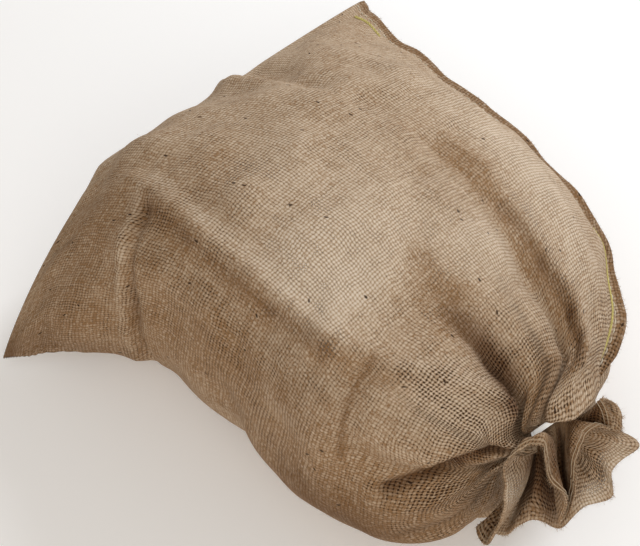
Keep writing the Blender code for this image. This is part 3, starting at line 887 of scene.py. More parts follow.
# Ends of the lobes beside the neck: share, width, and how far each hangs out and to the right
LOBES = ((0.345, 0.032, 0.0130, 0.0080), (0.410, 0.040, 0.0070, 0.0), (0.500, 0.045, 0.0050, 0.0),
         (0.092, 0.050, 0.0128, 0.0), (0.130, 0.028, 0.0060, -0.0040), (0.010, 0.045, 0.0080, 0.0))
# Ripples of the seam's sewn edge, as height, length and start: how it sags, and how wide it is
SAG_RIPPLES = ((0.05, 0.019, 0.7), (0.03, 0.0083, 0.0), (0.08, 0.043, 2.0))
WIDTH_RIPPLES = ((0.05, 0.0131, 1.0), (0.03, 0.0047, 0.0))
# Section of that edge from its tip to the seam: shares of its width and of its half thickness
EDGE_SECTION = ((1.0, 0.45), (0.93, 1.0), (0.66, 1.05), (0.33, 1.1))
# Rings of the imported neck: how far the columns have evened out, and the place past the tie's middle
NECK_RINGS = ((0.10, -0.0018), (0.50, 0.0), (0.90, 0.002))
MARKS = ("open", "pale", "dark", "brown", "edge")


@dataclass(frozen=True)
class Levels:
    """How open and brown the cloth is, and how much painted shade it has, apart from its patches,
    from 0 to 1.

    The weave opens towards the neck over a stretch of the body, and again between the neck and
    the hem of the mouth.
    """

    body_open: float = 0.12
    gathered_open: float = 0.45
    gathered_from: float = 0.36
    gathered_over: float = 0.12
    packed_open: float = 0.75
    mouth_open: float = 0.30
    loose_open: float = 0.30
    loose_over: tuple[float, float] = (0.004, 0.012)
    inner_brown: float = 0.60
    outer_brown: float = 0.70
    outer_dark: float = 0.08


def ripple(at: np.ndarray, waves: Sequence[tuple[float, float, float]]) -> np.ndarray:
    """Height at each place of waves that are given by height, length over a full turn and start."""
    return sum(height * np.sin(at / length + start) for height, length, start in waves)


@dataclass
class FilledSack:
    """The sack's cloth: filled body, packed neck and the loose folds of the mouth, one skin.

    Its rows run down the body, through the neck, out to the hem and back inside to the throat.
    """

    form: SackForm
    finish: bpy.types.Material
    settling: Settling = Settling()
    levels: Levels = Levels()
    fill: float = 0.7
    seed: int = 7
    columns: int = 312
    edge_row: float = 0.0015
    open_row: float = 0.0032
    neck_row: float = 0.0014
    finer_from: float = 0.30
    finer_over: float = 0.16
    body_end: float = 0.4965
    wave_count: int = 26
    wave_turns: tuple[int, int] = (3, 22)
    wave_lengths: tuple[float, float] = (0.045, 0.24)
    wave_start: float = 0.03
    wave_end: float = 0.44
    wave_fade: float = 0.05
    undulation: float = 0.0011
    pleat_count: int = 44
    pleat_height: float = 0.0022
    pleat_reaches: tuple[float, float] = (0.045, 0.13)
    pleat_widths: tuple[float, float] = (0.0045, 0.0075)
    pleat_end: float = 0.472
    pleat_fade: float = 0.022
    lobe_end: float = 0.4800
    lobe_reach: float = 0.0085
    join_from: float = 0.4845
    join_over: float = 0.012
    seam_half: float = 0.0016
    allowance_width: float = 0.0074
    allowance_half: float = 0.0012
    allowance_steps: int = 4
    allowance_sag: float = math.radians(12.0)
    allowance_end: float = 0.015
    allowance_fade: float = 0.035
    allowance_least: float = 0.0002
    mouth_steps: int = 36
    mouth_waves: int = 14
    mouth_turns: tuple[int, int] = (6, 30)
    mouth_drift: float = 1.2
    mouth_undulation: float = 0.0006
    mouth_thickness: float = 0.0015
    hem_thickness: float = 0.0023
    hem_width: float = 0.008
    lip_out: float = 0.0006
    throat_thickness: float = 0.55
    askew_reach: float = 0.012
    askew_across: float = 0.0032
    askew_along: float = 0.0026
    askew_length: float = 0.0075
    tuck_length: float = 0.0022
    pitch_from: float = 0.29
    pitch_over: float = 0.11
    alongs: np.ndarray = field(init=False)
    shares: np.ndarray = field(init=False)
    place: tuple[np.ndarray, np.ndarray, float] = field(init=False)
    body: np.ndarray = field(init=False)
    mouth: np.ndarray = field(init=False)

    def __post_init__(self) -> None:
        """Lay out the rows along the body and the columns round it."""
        places = [0.0, self.edge_row]
        while places[-1] < self.body_end - 0.001:
            near = float(soft_step((places[-1] - self.finer_from) / self.finer_over))
            places.append(places[-1] + (self.open_row + (self.neck_row - self.open_row) * near))
        self.alongs = np.array(places) * self.body_end / places[-1]
        half = self.seam_half / self.form.cloth_round
        count = self.allowance_steps
        flap = half * (np.arange(count) + 0.5) / count
        even = np.arange(1, self.columns) / self.columns
        self.shares = np.concatenate([flap, [half], even, [1 - half], 1 - flap[::-1]])
        course = np.array([self.form.seam_share(along) for along in self.alongs])
        shares = self.shares + course[:, None]
        alongs = np.broadcast_to(self.alongs[:, None], shares.shape)
        self.place = (shares, alongs, self.form.cloth_round)

    @property
    def core(self) -> slice:
        """The columns of the body without the sewn edge at the seam."""
        return slice(self.allowance_steps, -self.allowance_steps)

    # -------------------------------------------------------------- shape

    def folds(self, folds: Sequence[Fold]) -> np.ndarray:
        """Height of the given folds over the body."""
        heights = np.array([fold.weight(*self.place) for fold in folds])
        return np.maximum(heights.max(axis=0), 0.0) + np.minimum(heights.min(axis=0), 0.0)

    def waves(self) -> np.ndarray:
        """Soft unevenness of the cloth over its filling."""
        pick = np.random.default_rng(self.seed)
        shares, alongs, _ = self.place
        height = np.zeros(shares.shape)
        for _ in range(self.wave_count):
            turns = pick.integers(*self.wave_turns)
            length = pick.uniform(*self.wave_lengths)
            phase, slant = pick.uniform(0, 2 * math.pi), pick.choice((-1.0, 1.0))
            wave = np.sin(2 * math.pi * (turns * shares + slant * alongs / length) + phase)
            height += wave * (5.0 / (4.0 + turns))
        height *= self.undulation / height.std()
        still = soft_step((alongs - self.wave_end) / self.wave_fade)
        return height * soft_step(alongs / self.wave_start) * (1.0 - still)

    def pleats(self) -> np.ndarray:
        """Fine pleats between the gathers, close to the neck."""
        pick = np.random.default_rng(self.seed + 4)
        shares, alongs, _ = self.place
        height = np.zeros(shares.shape)
        for k in range(self.pleat_count):
            share = (k + pick.uniform(0.15, 0.85)) / self.pleat_count
            reach = pick.uniform(*self.pleat_reaches)
            width = pick.uniform(*self.pleat_widths)
            rise = pick.uniform(0.5, 1.0) * pick.choice((-0.8, 1.0))
            near = np.clip(1.0 - (self.form.tie_at - alongs) / reach, 0.0, 1.0)
            height += rise * np.exp(-((around(shares, share) / width) ** 2)) * near**0.8
        squeeze = 1.0 - soft_step((alongs - self.pleat_end) / self.pleat_fade)
        return self.pleat_height * height * squeeze

    def shoulders(self) -> np.ndarray:
        """How far the ends of the lobes beside the neck hang over the tie and each other."""
        shares, alongs, _ = self.place
        _, out, right, _ = self.form.neck_axes()
        over = sum(np.exp(-((around(shares, share) / width) ** 2))[..., None]
                   * (rise * out + aside * right) for share, width, rise, aside in LOBES)
        return over * np.exp(-(((alongs - self.lobe_end) / self.lobe_reach) ** 2))[..., None]

    def raised(self, grid: np.ndarray, height: np.ndarray) -> np.ndarray:
        """The body with each point moved out along its normal."""
        outward = outward_normals(grid[:, self.core])
        ease_rows(outward, 2)
        grid = grid.copy()
        grid[:, self.core] += outward * height[:, self.core, None]
        return grid

    def body_points(self) -> np.ndarray:
        """The filled body with its folds, up to the neck."""
        grid = np.array([self.form.body_ring(along, row)
                         for along, row in zip(self.alongs, self.place[0])])
        grid = self.raised(grid, self.folds(MAIN_FOLDS))
        move = self.settling.moved(grid[:, self.core], self.alongs)
        grid[:, self.core] += move
        LOG.info("settled by up to %.1f mm", 1000.0 * float(np.linalg.norm(move, axis=2).max()))
        grid = self.raised(grid, self.folds(FINE_FOLDS) + self.waves())
        return self.raised(grid, self.pleats()) + self.shoulders()

    def with_allowance(self, grid: np.ndarray) -> np.ndarray:
        """The body with the sewn double edge standing out along the side seam.

        Args:
            grid: The body without it.

        Returns:
            The body with the edge's columns laid out from its tip to the seam.
        """
        count = self.allowance_steps
        seam = 0.5 * (grid[:, count] + grid[:, -count - 1])
        course = unit(np.gradient(seam, axis=0))
        outward = unit(np.cross(np.array([0.0, 0.0, 1.0]), course))
        outward *= np.sign(outward[:1, :1])
        outward[:, 2] -= np.tan(self.allowance_sag + ripple(self.alongs, SAG_RIPPLES))
        outward = unit(outward)
        face = np.cross(course, outward)
        face *= np.sign(face[:, 2:3])
        left = np.clip((self.form.tie_at - self.alongs - self.allowance_end)
                       / self.allowance_fade, 0.0, 1.0)
        ragged = 1.0 + ripple(self.alongs, WIDTH_RIPPLES)
        reach = self.allowance_width * left * ragged + self.allowance_least
        half = self.allowance_half * left + 0.5 * self.allowance_least * (1.0 - left)
        grid = grid.copy()
        for k, (out_share, face_share) in enumerate(EDGE_SECTION):
            away = outward * (reach * out_share)[:, None]
            rise = face * (half * face_share)[:, None]
            grid[:, k] = seam + away + rise
            grid[:, -1 - k] = seam + away - rise
        return grid

    def joined_to_neck(self, grid: np.ndarray) -> np.ndarray:
        """The body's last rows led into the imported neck."""
        for i, along in enumerate(self.alongs):
            blend = float(soft_step((along - self.join_from) / self.join_over))
            if blend > 0.0:
                neck = self.form.neck_ring(self.form.neck_shares(self.place[0][i]),
                                           along - self.form.tie_at)
                grid[i] += (neck - grid[i]) * blend
        return grid

    def mouth_points(self) -> np.ndarray:
        """The outer face of the loose folds, from the tie to the hem."""
        steps = np.linspace(0.0, 1.0, self.mouth_steps + 1)
        grid = self.form.mouth_rings(self.shares, steps)
        pick = np.random.default_rng(self.seed + 9)
        wave = np.zeros(grid.shape[:2])
        for _ in range(self.mouth_waves):
            turns, phase = pick.integers(*self.mouth_turns), pick.uniform(0, 2 * math.pi)
            drift = pick.uniform(-self.mouth_drift, self.mouth_drift)
            wave += np.sin(2 * math.pi * (turns * self.shares + drift * steps[:, None]) + phase)
        wave *= self.mouth_undulation / wave.std()
        return grid + outward_normals(grid) * (wave * soft_step(steps / 0.3)[:, None])[..., None]

    def rows(self) -> np.ndarray:
        """All rows of the closed skin."""
        body = self.joined_to_neck(self.with_allowance(self.body_points()))
        body[..., 2] = np.maximum(body[..., 2], 0.0)
        packed = self.form.neck_shares(self.shares)
        neck = np.array([self.form.neck_ring(packed + (self.shares - packed) * turned, beyond)
                         for turned, beyond in NECK_RINGS])
        mouth = self.mouth_points()
        lengths = lengths_down(mouth)
        from_hem = lengths[-1] - lengths
        hem = 1.0 - soft_step((from_hem - 0.6 * self.hem_width) / (0.4 * self.hem_width))
        outward = eased(unit(eased(outward_normals(mouth), 3)), 1)
        thick = self.mouth_thickness + (self.hem_thickness - self.mouth_thickness) * hem
        steps = np.linspace(0.0, 1.0, self.mouth_steps + 1)
        thin = self.throat_thickness
        thick *= (thin + (1.0 - thin) * soft_step(steps / 0.2))[:, None]
        outer = mouth + outward * (0.30 * (thick - self.mouth_thickness))[..., None]
        inner = eased(mouth - outward * (0.75 * thick)[..., None], 2)
        beyond = unit(mouth[-1] - mouth[-2]) * self.lip_out
        edge = 0.5 * (outer[-1] + inner[-1]) + beyond
        lip = [0.5 * (edge + face[-1] + beyond) for face in (outer, inner)]
        self.body, self.mouth = body, outer
        return np.concatenate([body, neck, outer, [lip[0], edge, lip[1]], inner[::-1]])

    def parts(self) -> dict[str, slice]:
        """Which rows are the body, the neck, the mouth's outer face, its lip and its inner face."""
        face = len(self.mouth)
        counts = {"body": len(self.alongs), "neck": len(NECK_RINGS), "outer": face, "lip": 3,
                  "inner": face}
        ends = np.cumsum(list(counts.values()))
        return {name: slice(end - counts[name], end) for name, end in zip(counts, ends)}

    # -------------------------------------------------------------- cloth coordinates

    def across_ring(self, ring: np.ndarray, shares: np.ndarray, near: float) -> np.ndarray:
        """Distance across the cloth of the points of one ring.

        The weave keeps its pitch near the neck and vanishes into the gathers. Away from it the
        weave is spread evenly between them.

        Args:
            ring: The ring's points.
            shares: Their cloth shares.
            near: 0 away from the neck and 1 close to it.

        Returns:
            The distance of each point.
        """
        cloth = self.form.cloth_round
        marks = wrapped(self.form.gather_places("cloth"))
        arc = length_along(closed(ring))
        turned_share = np.concatenate([shares - 1.0, shares, shares + 1.0])
        turned_arc = np.concatenate([arc[:-1] - arc[-1], arc[:-1], arc[:-1] + arc[-1]])
        arcs = np.interp(marks, turned_share, turned_arc)
        lobe = np.clip(np.searchsorted(marks, shares, side="right") - 1, 0, len(marks) - 2)
        start, end = arcs[lobe], arcs[lobe + 1]
        span = np.maximum(end - start, 1e-6)
        length = (marks[lobe + 1] - marks[lobe]) * cloth
        t = np.clip((arc[:-1] - start) / span, 0.0, 1.0)
        tuck = np.minimum(self.tuck_length, 0.10 * span)
        hidden = 0.5 * (1 - np.exp(-t * span / tuck)) + 0.5 * np.exp(-(1 - t) * span / tuck)
        natural = (length - span) * hidden + t * span
        return marks[lobe] * cloth + t * length * (1 - near) + natural * near

    def body_cloth(self) -> tuple[np.ndarray, np.ndarray]:
        """Cloth coordinates of the body.

        Returns:
            Distance across the cloth with one more column for the seam, and distance along it.
        """
        count = self.allowance_steps
        core = self.body[:, self.core]
        near = soft_step((self.alongs - self.pitch_from) / self.pitch_over)
        across = np.array([self.across_ring(core[i], self.place[0][i, self.core], near[i])
                           for i in range(len(core))])
        reach = np.linalg.norm(np.diff(self.body[:, :count + 1], axis=1), axis=2)
        upper = across[:, :1] - np.cumsum(reach[:, ::-1], axis=1)[:, ::-1]
        reach = np.linalg.norm(np.diff(self.body[:, -count - 1:], axis=1), axis=2)
        lower = across[:, -1:] + np.cumsum(reach, axis=1)
        edge = np.linalg.norm(self.body[:, :1] - self.body[:, -1:], axis=2)
        across = np.concatenate([upper, across, lower, lower[:, -1:] + edge], axis=1)
        steps = np.linalg.norm(np.diff(core, axis=0), axis=2).mean(axis=1)
        return across, np.concatenate([[0.0], np.cumsum(steps)])

    def mouth_cloth(self) -> tuple[np.ndarray, np.ndarray]:
        """Cloth coordinates of the loose folds.

        Returns:
            Distance along the hem with one more column for the seam, and distance up to the hem.
        """
        arc = length_along(closed(self.mouth[-1]))
        up = lengths_down(self.mouth)
        up = up - up[-1]
        up = 0.75 * up + 0.25 * up.mean(axis=1, keepdims=True)
        up = np.hstack([up, up[:, :1]])
        # gathering pulls the threads askew, all but those along the hem
        askew = soft_step(-up / self.askew_reach)
        aside = np.sin(up / 0.0060 + arc / 0.0110)
        return (arc + self.askew_across * askew * aside,
                up + self.askew_along * askew * np.sin(arc / self.askew_length + 1.0))

    # -------------------------------------------------------------- mesh

    def build(self) -> bpy.types.Object:
        """The finished cloth.

        Returns:
            The sack, with its cloth coordinates and the marks that its finish reads.
        """
        rows = self.rows()
        count_rows, count = rows.shape[:2]
        centre, out, _, _ = self.form.neck_axes()
        throat = centre + (self.form.neck_length / 2 - 0.002) * out
        points = np.vstack([rows.reshape(-1, 3), throat[None]]) + self.form.shift
        i, j = corners_of(count_rows, count)
        faces = [tuple(face) for face in (i * count + j % count).tolist()]
        # the bottom edge is closed flat, as it is sewn
        last = count - 1
        for k in range(last // 2):
            faces.append((k, k + 1, last - k - 1, last - k) if last - k - 1 > k + 1
                         else (k, k + 1, last - k))
        end = (count_rows - 1) * count
        faces.extend((end + k, count_rows * count, end + (k + 1) % count) for k in range(count))
        made = new_object("sack_cloth", points, faces, self.finish)
        self.write_cloth(made, i, j, points)
        self.write_marks(made, count_rows)
        self.face_outwards(made)
        return made

    def write_cloth(self, made: bpy.types.Object, i: np.ndarray, j: np.ndarray,
                    points: np.ndarray) -> None:
        """Write the cloth coordinates, in metres, as the UV map that the weave follows.

        Args:
            made: The sack.
            i: Rows of the corners of its four-sided faces.
            j: Columns of those corners.
            points: Its vertices, for the few faces that close both ends.
        """
        part = self.parts()
        across, along = np.zeros((2, i.max() + 1, j.max() + 1))
        body_u, body_v = self.body_cloth()
        mouth_u, mouth_v = self.mouth_cloth()
        across[part["body"]], along[part["body"]] = body_u, body_v[:, None]
        across[part["neck"]] = body_u[-1]
        along[part["neck"]] = body_v[-1] + np.array([[0.002], [0.004], [0.006]])
        across[part["outer"]], along[part["outer"]] = mouth_u, mouth_v
        across[part["lip"]] = mouth_u[-1]
        along[part["lip"]] = np.array([[0.0008], [0.0016], [0.0024]])
        across[part["inner"]], along[part["inner"]] = mouth_u[::-1], mouth_v[::-1]
        numbers = np.zeros(len(made.data.loops), dtype=np.int64)
        made.data.loops.foreach_get("vertex_index", numbers)
        ends = points[numbers[i.size:]]
        values = np.vstack([np.stack([across[i, j], along[i, j]], axis=-1).reshape(-1, 2),
                            np.stack([ends[:, 0] + ends[:, 1], ends[:, 2]], axis=-1)])
        layer = made.data.uv_layers.new(name="Cloth")
        layer.data.foreach_set("uv", values.astype(np.float32).ravel())

    def write_marks(self, made: bpy.types.Object, count_rows: int) -> None:
        """Write how open and brown the cloth is, where it is paler with the filling or painted light,
        where it is painted darker as shade, and where it is a sewn edge.

        Args:
            made: The sack.
            count_rows: How many rows its skin has.
        """
        part, level = self.parts(), self.levels
        marks = dict(zip(MARKS, np.zeros((len(MARKS), count_rows, len(self.shares)))))
        body = part["body"]
        near = soft_step((self.place[1] - level.gathered_from) / level.gathered_over)
        opened = level.body_open + level.gathered_open * near + total(OPEN_PATCHES, *self.place)
        marks["open"][body] = np.clip(opened, 0, 1)
        marks["pale"][body] = np.clip(total(FILLING_AND_SHEEN_PATCHES, *self.place), 0, 1) * (1 - near)
        marks["dark"][body] = np.clip(total(PAINTED_SHADE_PATCHES, *self.place), 0, 1)
        marks["brown"][body] = np.clip(total(BROWN_AND_PAINTED_LIGHT_PATCHES, *self.place), -1, 1)
        marks["edge"][body] = 1.0
        marks["edge"][body, self.core] = 0.0
        marks["open"][body.stop:] = level.packed_open
        marks["brown"][body.stop:] = level.inner_brown
        lengths = lengths_down(self.mouth)
        place = (np.broadcast_to(self.shares, lengths.shape), self.form.tie_at + lengths,
                 self.form.cloth_round)
        loose = soft_step((lengths[-1] - lengths - self.hem_width) / level.loose_over[0])
        loose *= soft_step(lengths / level.loose_over[1])
        opened = level.mouth_open + level.loose_open * loose + total(OPEN_PATCHES, *place)
        opened = np.clip(opened, 0, 1)
        # browner, and painted shade in the gaps between the mouth's folds
        browner = total(OUTER_BROWN_AND_SHADE_PATCHES, *place)
        marks["open"][part["outer"]] = opened
        marks["brown"][part["outer"]] = np.clip(level.outer_brown + browner, 0, 1)
        marks["dark"][part["outer"]] = np.clip(level.outer_dark + 0.6 * browner, 0, 1)
        # painted light on the mouth's inner face: paler and less brown there
        painted_inner_light = np.clip(total(INNER_LIGHT_PATCHES, *place), 0, 1)
        no_holes = 1 - np.clip(2.0 * opened - 1.2, 0, 1)
        marks["open"][part["inner"]] = opened[::-1]
        marks["pale"][part["inner"]] = (np.clip(1.9 * painted_inner_light - 1, 0, 1) * no_holes)[::-1]
        marks["brown"][part["inner"]] = (level.inner_brown - level.inner_brown * painted_inner_light)[::-1]
        marks["dark"][part["inner"]] = np.clip(total(THROAT_SHADE_PATCHES, *place), 0, 1)[::-1]
        for name, values in marks.items():
            point_attribute(made, name, np.append(values.ravel(), 0.0))

    @staticmethod
    def face_outwards(made: bpy.types.Object) -> None:
        """Turn the faces over if the closed skin is inside out."""
        mesh = made.data
        mesh.calc_loop_triangles()
        points = np.zeros(len(mesh.vertices) * 3)
        mesh.vertices.foreach_get("co", points)
        corners = np.zeros(len(mesh.loop_triangles) * 3, dtype=np.int64)
        mesh.loop_triangles.foreach_get("vertices", corners)
        a, b, c = points.reshape(-1, 3)[corners.reshape(-1, 3)].transpose(1, 0, 2)
        if float(np.einsum("ij,ij->i", a, np.cross(b, c)).sum()) < 0.0:
            mesh.flip_normals()


# ------------------------------------------------------------------ finishes


class Value:
    """A number or colour that changes over a surface, with the arithmetic the finishes use."""

    def __init__(self, tree: bpy.types.NodeTree, socket: bpy.types.NodeSocket) -> None:
        """Wrap one output socket of a node tree."""
        self.tree = tree
        self.socket = socket

    def beside(self, output: int) -> "Value":
        """Another output of the same node."""
        return Value(self.tree, self.socket.node.outputs[output])

    def into(self, socket: bpy.types.NodeSocket) -> None:
        """Lead the value into an input."""
        self.tree.links.new(self.socket, socket)

    def maths(self, operation: str, *others: "Value | float", clamp: bool = False) -> "Value":
        """Add one Math node.

        Args:
            operation: The Math node's operation.
            *others: Its further inputs.
            clamp: Whether the result stays between 0 and 1.

        Returns:
            The node's result.
        """
        node = self.tree.nodes.new("ShaderNodeMath")
        node.operation = operation
        node.use_clamp = clamp
        for socket, given in zip(node.inputs, (self, *others)):
            put(socket, given)
        return Value(self.tree, node.outputs[0])

    __add__ = partialmethod(maths, "ADD")
    __sub__ = partialmethod(maths, "SUBTRACT")
    __mul__ = partialmethod(maths, "MULTIPLY")
    __truediv__ = partialmethod(maths, "DIVIDE")
    # a plain number less the value
    __rsub__ = partialmethod(maths, "MULTIPLY_ADD", -1.0)
    floor = partialmethod(maths, "FLOOR")
    cosine = partialmethod(maths, "COSINE")
    root = partialmethod(maths, "SQRT")
    squared = partialmethod(maths, "POWER", 2.0)
    larger = partialmethod(maths, "MAXIMUM")
    # the value held between 0 and 1
    held = partialmethod(maths, "ADD", 0.0, clamp=True)

    def rising(self, low: float, high: float) -> "Value":
        """A soft rise from 0 to 1 as the value goes from low to high."""
        node = self.tree.nodes.new("ShaderNodeMapRange")
        node.interpolation_type = "SMOOTHSTEP"
        for name, given in (("Value", self), ("From Min", low), ("From Max", high)):
            put(node.inputs[name], given)
        return Value(self.tree, node.outputs["Result"])


def put(socket: bpy.types.NodeSocket, given: Value | float | Colour) -> None:
    """Lead a changing value into an input, or set it to a constant."""
    if isinstance(given, Value):
        given.into(socket)
    else:
        socket.default_value = given


class Surface:
    """A material being made, with its one Principled shader."""

    def __init__(self, name: str, **constants: float | Colour) -> None:
        """Start a material.

        Args:
            name: Its name.
            **constants: Values that are the same all over, by the shader's socket names with
                underscores for spaces.
        """
        self.material = bpy.data.materials.new(name)
        self.material.use_nodes = True
        self.tree = self.material.node_tree
        self.shader = self.tree.nodes["Principled BSDF"]
        for key, value in constants.items():
            self.shader.inputs[key.replace("_", " ")].default_value = value

    def node(self, kind: str, settings: dict[str, object] | None = None, output: int | str = 0,
             **sockets: Value | float) -> Value:
        """Add one node.

        Args:
            kind: Its type, without the prefix that all shader nodes share.
            settings: Its own settings, such as a texture's dimensions.
            output: Which of its outputs is wanted.
            **sockets: Values or links of its inputs, by name with underscores for spaces.

        Returns:
            That output.
        """
        made = self.tree.nodes.new("ShaderNode" + kind)
        for key, value in (settings or {}).items():
            setattr(made, key, value)
        for key, value in sockets.items():
            put(made.inputs[key.replace("_", " ")], value)
        return Value(self.tree, made.outputs[output])

    def attribute(self, name: str) -> Value:
        """A mark that the piece's mesh carries."""
        return self.node("Attribute", {"attribute_name": name}, "Fac")

    def place(self, x: Value | float, y: Value | float = 0.0, z: Value | float = 0.0) -> Value:
        """A vector from three numbers."""
        return self.node("CombineXYZ", X=x, Y=y, Z=z)

    def own_place(self) -> Value:
        """Each point's place on the object, in metres."""
        return self.node("TexCoord", output="Object")

    def noise(self, where: Value, scale: float = 1.0, detail: float = 2.0,
              rough: float = 0.5) -> Value:
        """Soft noise from 0 to 1 at a place."""
        return self.node("TexNoise", Vector=where, Scale=scale, Detail=detail, Roughness=rough)

    def chance(self, where: Value) -> Value:
        """An even chance from 0 to 1 that holds all over one cell."""
        return self.node("TexWhiteNoise", {"noise_dimensions": "3D"}, Vector=where)

    def mix(self, first: Value | Colour, second: Value | Colour, share: Value | float,
            way: str = "MIX") -> Value:
        """Two colours through one Mix node.

        Args:
            first: The colour where the share is 0.
            second: The colour where it is 1.
            share: How much there is of the second.
            way: The node's blending.

        Returns:
            The mixture.
        """
        node = self.tree.nodes.new("ShaderNodeMix")
        node.data_type = "RGBA"
        node.blend_type = way
        # a Mix node's inputs for colours come after those for numbers and vectors
        for socket, given in zip((node.inputs[0], *node.inputs[6:8]), (share, first, second)):
            put(socket, given)
        return Value(self.tree, node.outputs[2])

    def feed(self, socket: str, value: Value) -> None:
        """Lead a changing value or colour into the shader."""
        value.into(self.shader.inputs[socket])

    def bump(self, height: Value, distance: float) -> None:
        """Raise the surface by a height from 0 to 1."""
        self.feed("Normal", self.node("Bump", Height=height, Distance=distance, Strength=1.0))


@dataclass(frozen=True)
class Yarn:
    """One of the two sets of threads of the weave, and where in each noise it is drawn.

    The depths differ between the sets, so that no two threads look alike.
    """

    is_warp: bool
    wander: float
    streak: float
    chance: float
    thick: float
    fibre: float
    tone: float


WARP = Yarn(True, 0.0, 0.0, 1.5, 0.0, 0.0, 2.0)
WEFT = Yarn(False, 3.0, 7.0, 2.5, 5.0, 9.0, 11.0)


@dataclass
class Threads:
    """One set of threads over the cloth, as it is drawn in the finish.

    At each point off is the distance from the thread's middle in pitches, and number is the
    thread's own.
    """

    look: Surface
    yarn: Yarn
    across: Value
    along: Value
    pitch: float
    wander_scale: float = 75.0
    wander_stretch: float = 0.30
    wander_reach: float = 1.6
    streak_scales: tuple[float, float] = (130.0, 11.0)
    swell_scale: float = 210.0
    swell_strength: float = 1.05
    own_thickness: float = 0.22
    fibre_scales: tuple[float, float] = (1900.0, 300.0)
    tone_scale: float = 60.0

    def __post_init__(self) -> None:
        """Number the threads, which wander a little from their straight course."""
        where = self.at(self.across * self.wander_stretch, self.along, self.yarn.wander)
        drift = self.look.noise(where, self.wander_scale) - 0.5
        self.course = self.across / self.pitch + drift * self.wander_reach
        self.number = self.course.floor()
        self.off = self.course - self.number - 0.5

    def at(self, across: Value, along: Value | float, depth: float) -> Value:
        """A place in the noise from distances across the threads and along them."""
        return self.look.place(*((across, along) if self.yarn.is_warp else (along, across)), depth)

    def streaks(self) -> Value:
        """Streaks along the threads in which the cloth is pulled open."""
        fine, long = self.streak_scales
        where = self.at(self.across * fine, self.along * long, self.yarn.streak)
        return self.look.noise(where) - 0.5

    def roundness(self, opened: Value, close_half: float, open_half: float) -> Value:
        """1 in the middle of a thread, 0 at its edge. Each has its own thickness, which varies.

        Args:
            opened: How far the cloth is pulled open, from 0 to 1.
            close_half: Half a thread's width, in pitches, where the weave is close.
            open_half: The same where it is pulled open.

        Returns:
            The roundness, below 0 between the threads.
        """
        own = self.look.chance(self.look.place(self.number, self.yarn.chance) if self.yarn.is_warp
                               else self.look.place(self.yarn.chance, self.number)) - 0.5
        where = self.at(self.number * 3.7, self.along * self.swell_scale, self.yarn.thick)
        thick = self.look.noise(where) - 0.5 + own * self.own_thickness
        half = close_half - opened * (close_half - open_half)
        half = half * (thick * self.swell_strength + 1.0)
        return 1.0 - (self.off / half).squared()

    def fibres(self) -> Value:
        """Fibres along each thread."""
        fine, long = self.fibre_scales
        where = self.at(self.across * fine, self.along * long, self.yarn.fibre)
        return self.look.noise(where, 1.0, 3.0, 0.6)

    def tone(self) -> Value:
        """Each thread's own colour, which changes along it."""
        along = self.along * self.tone_scale
        return self.look.noise(self.at(self.number * 5.3, along, self.yarn.tone))


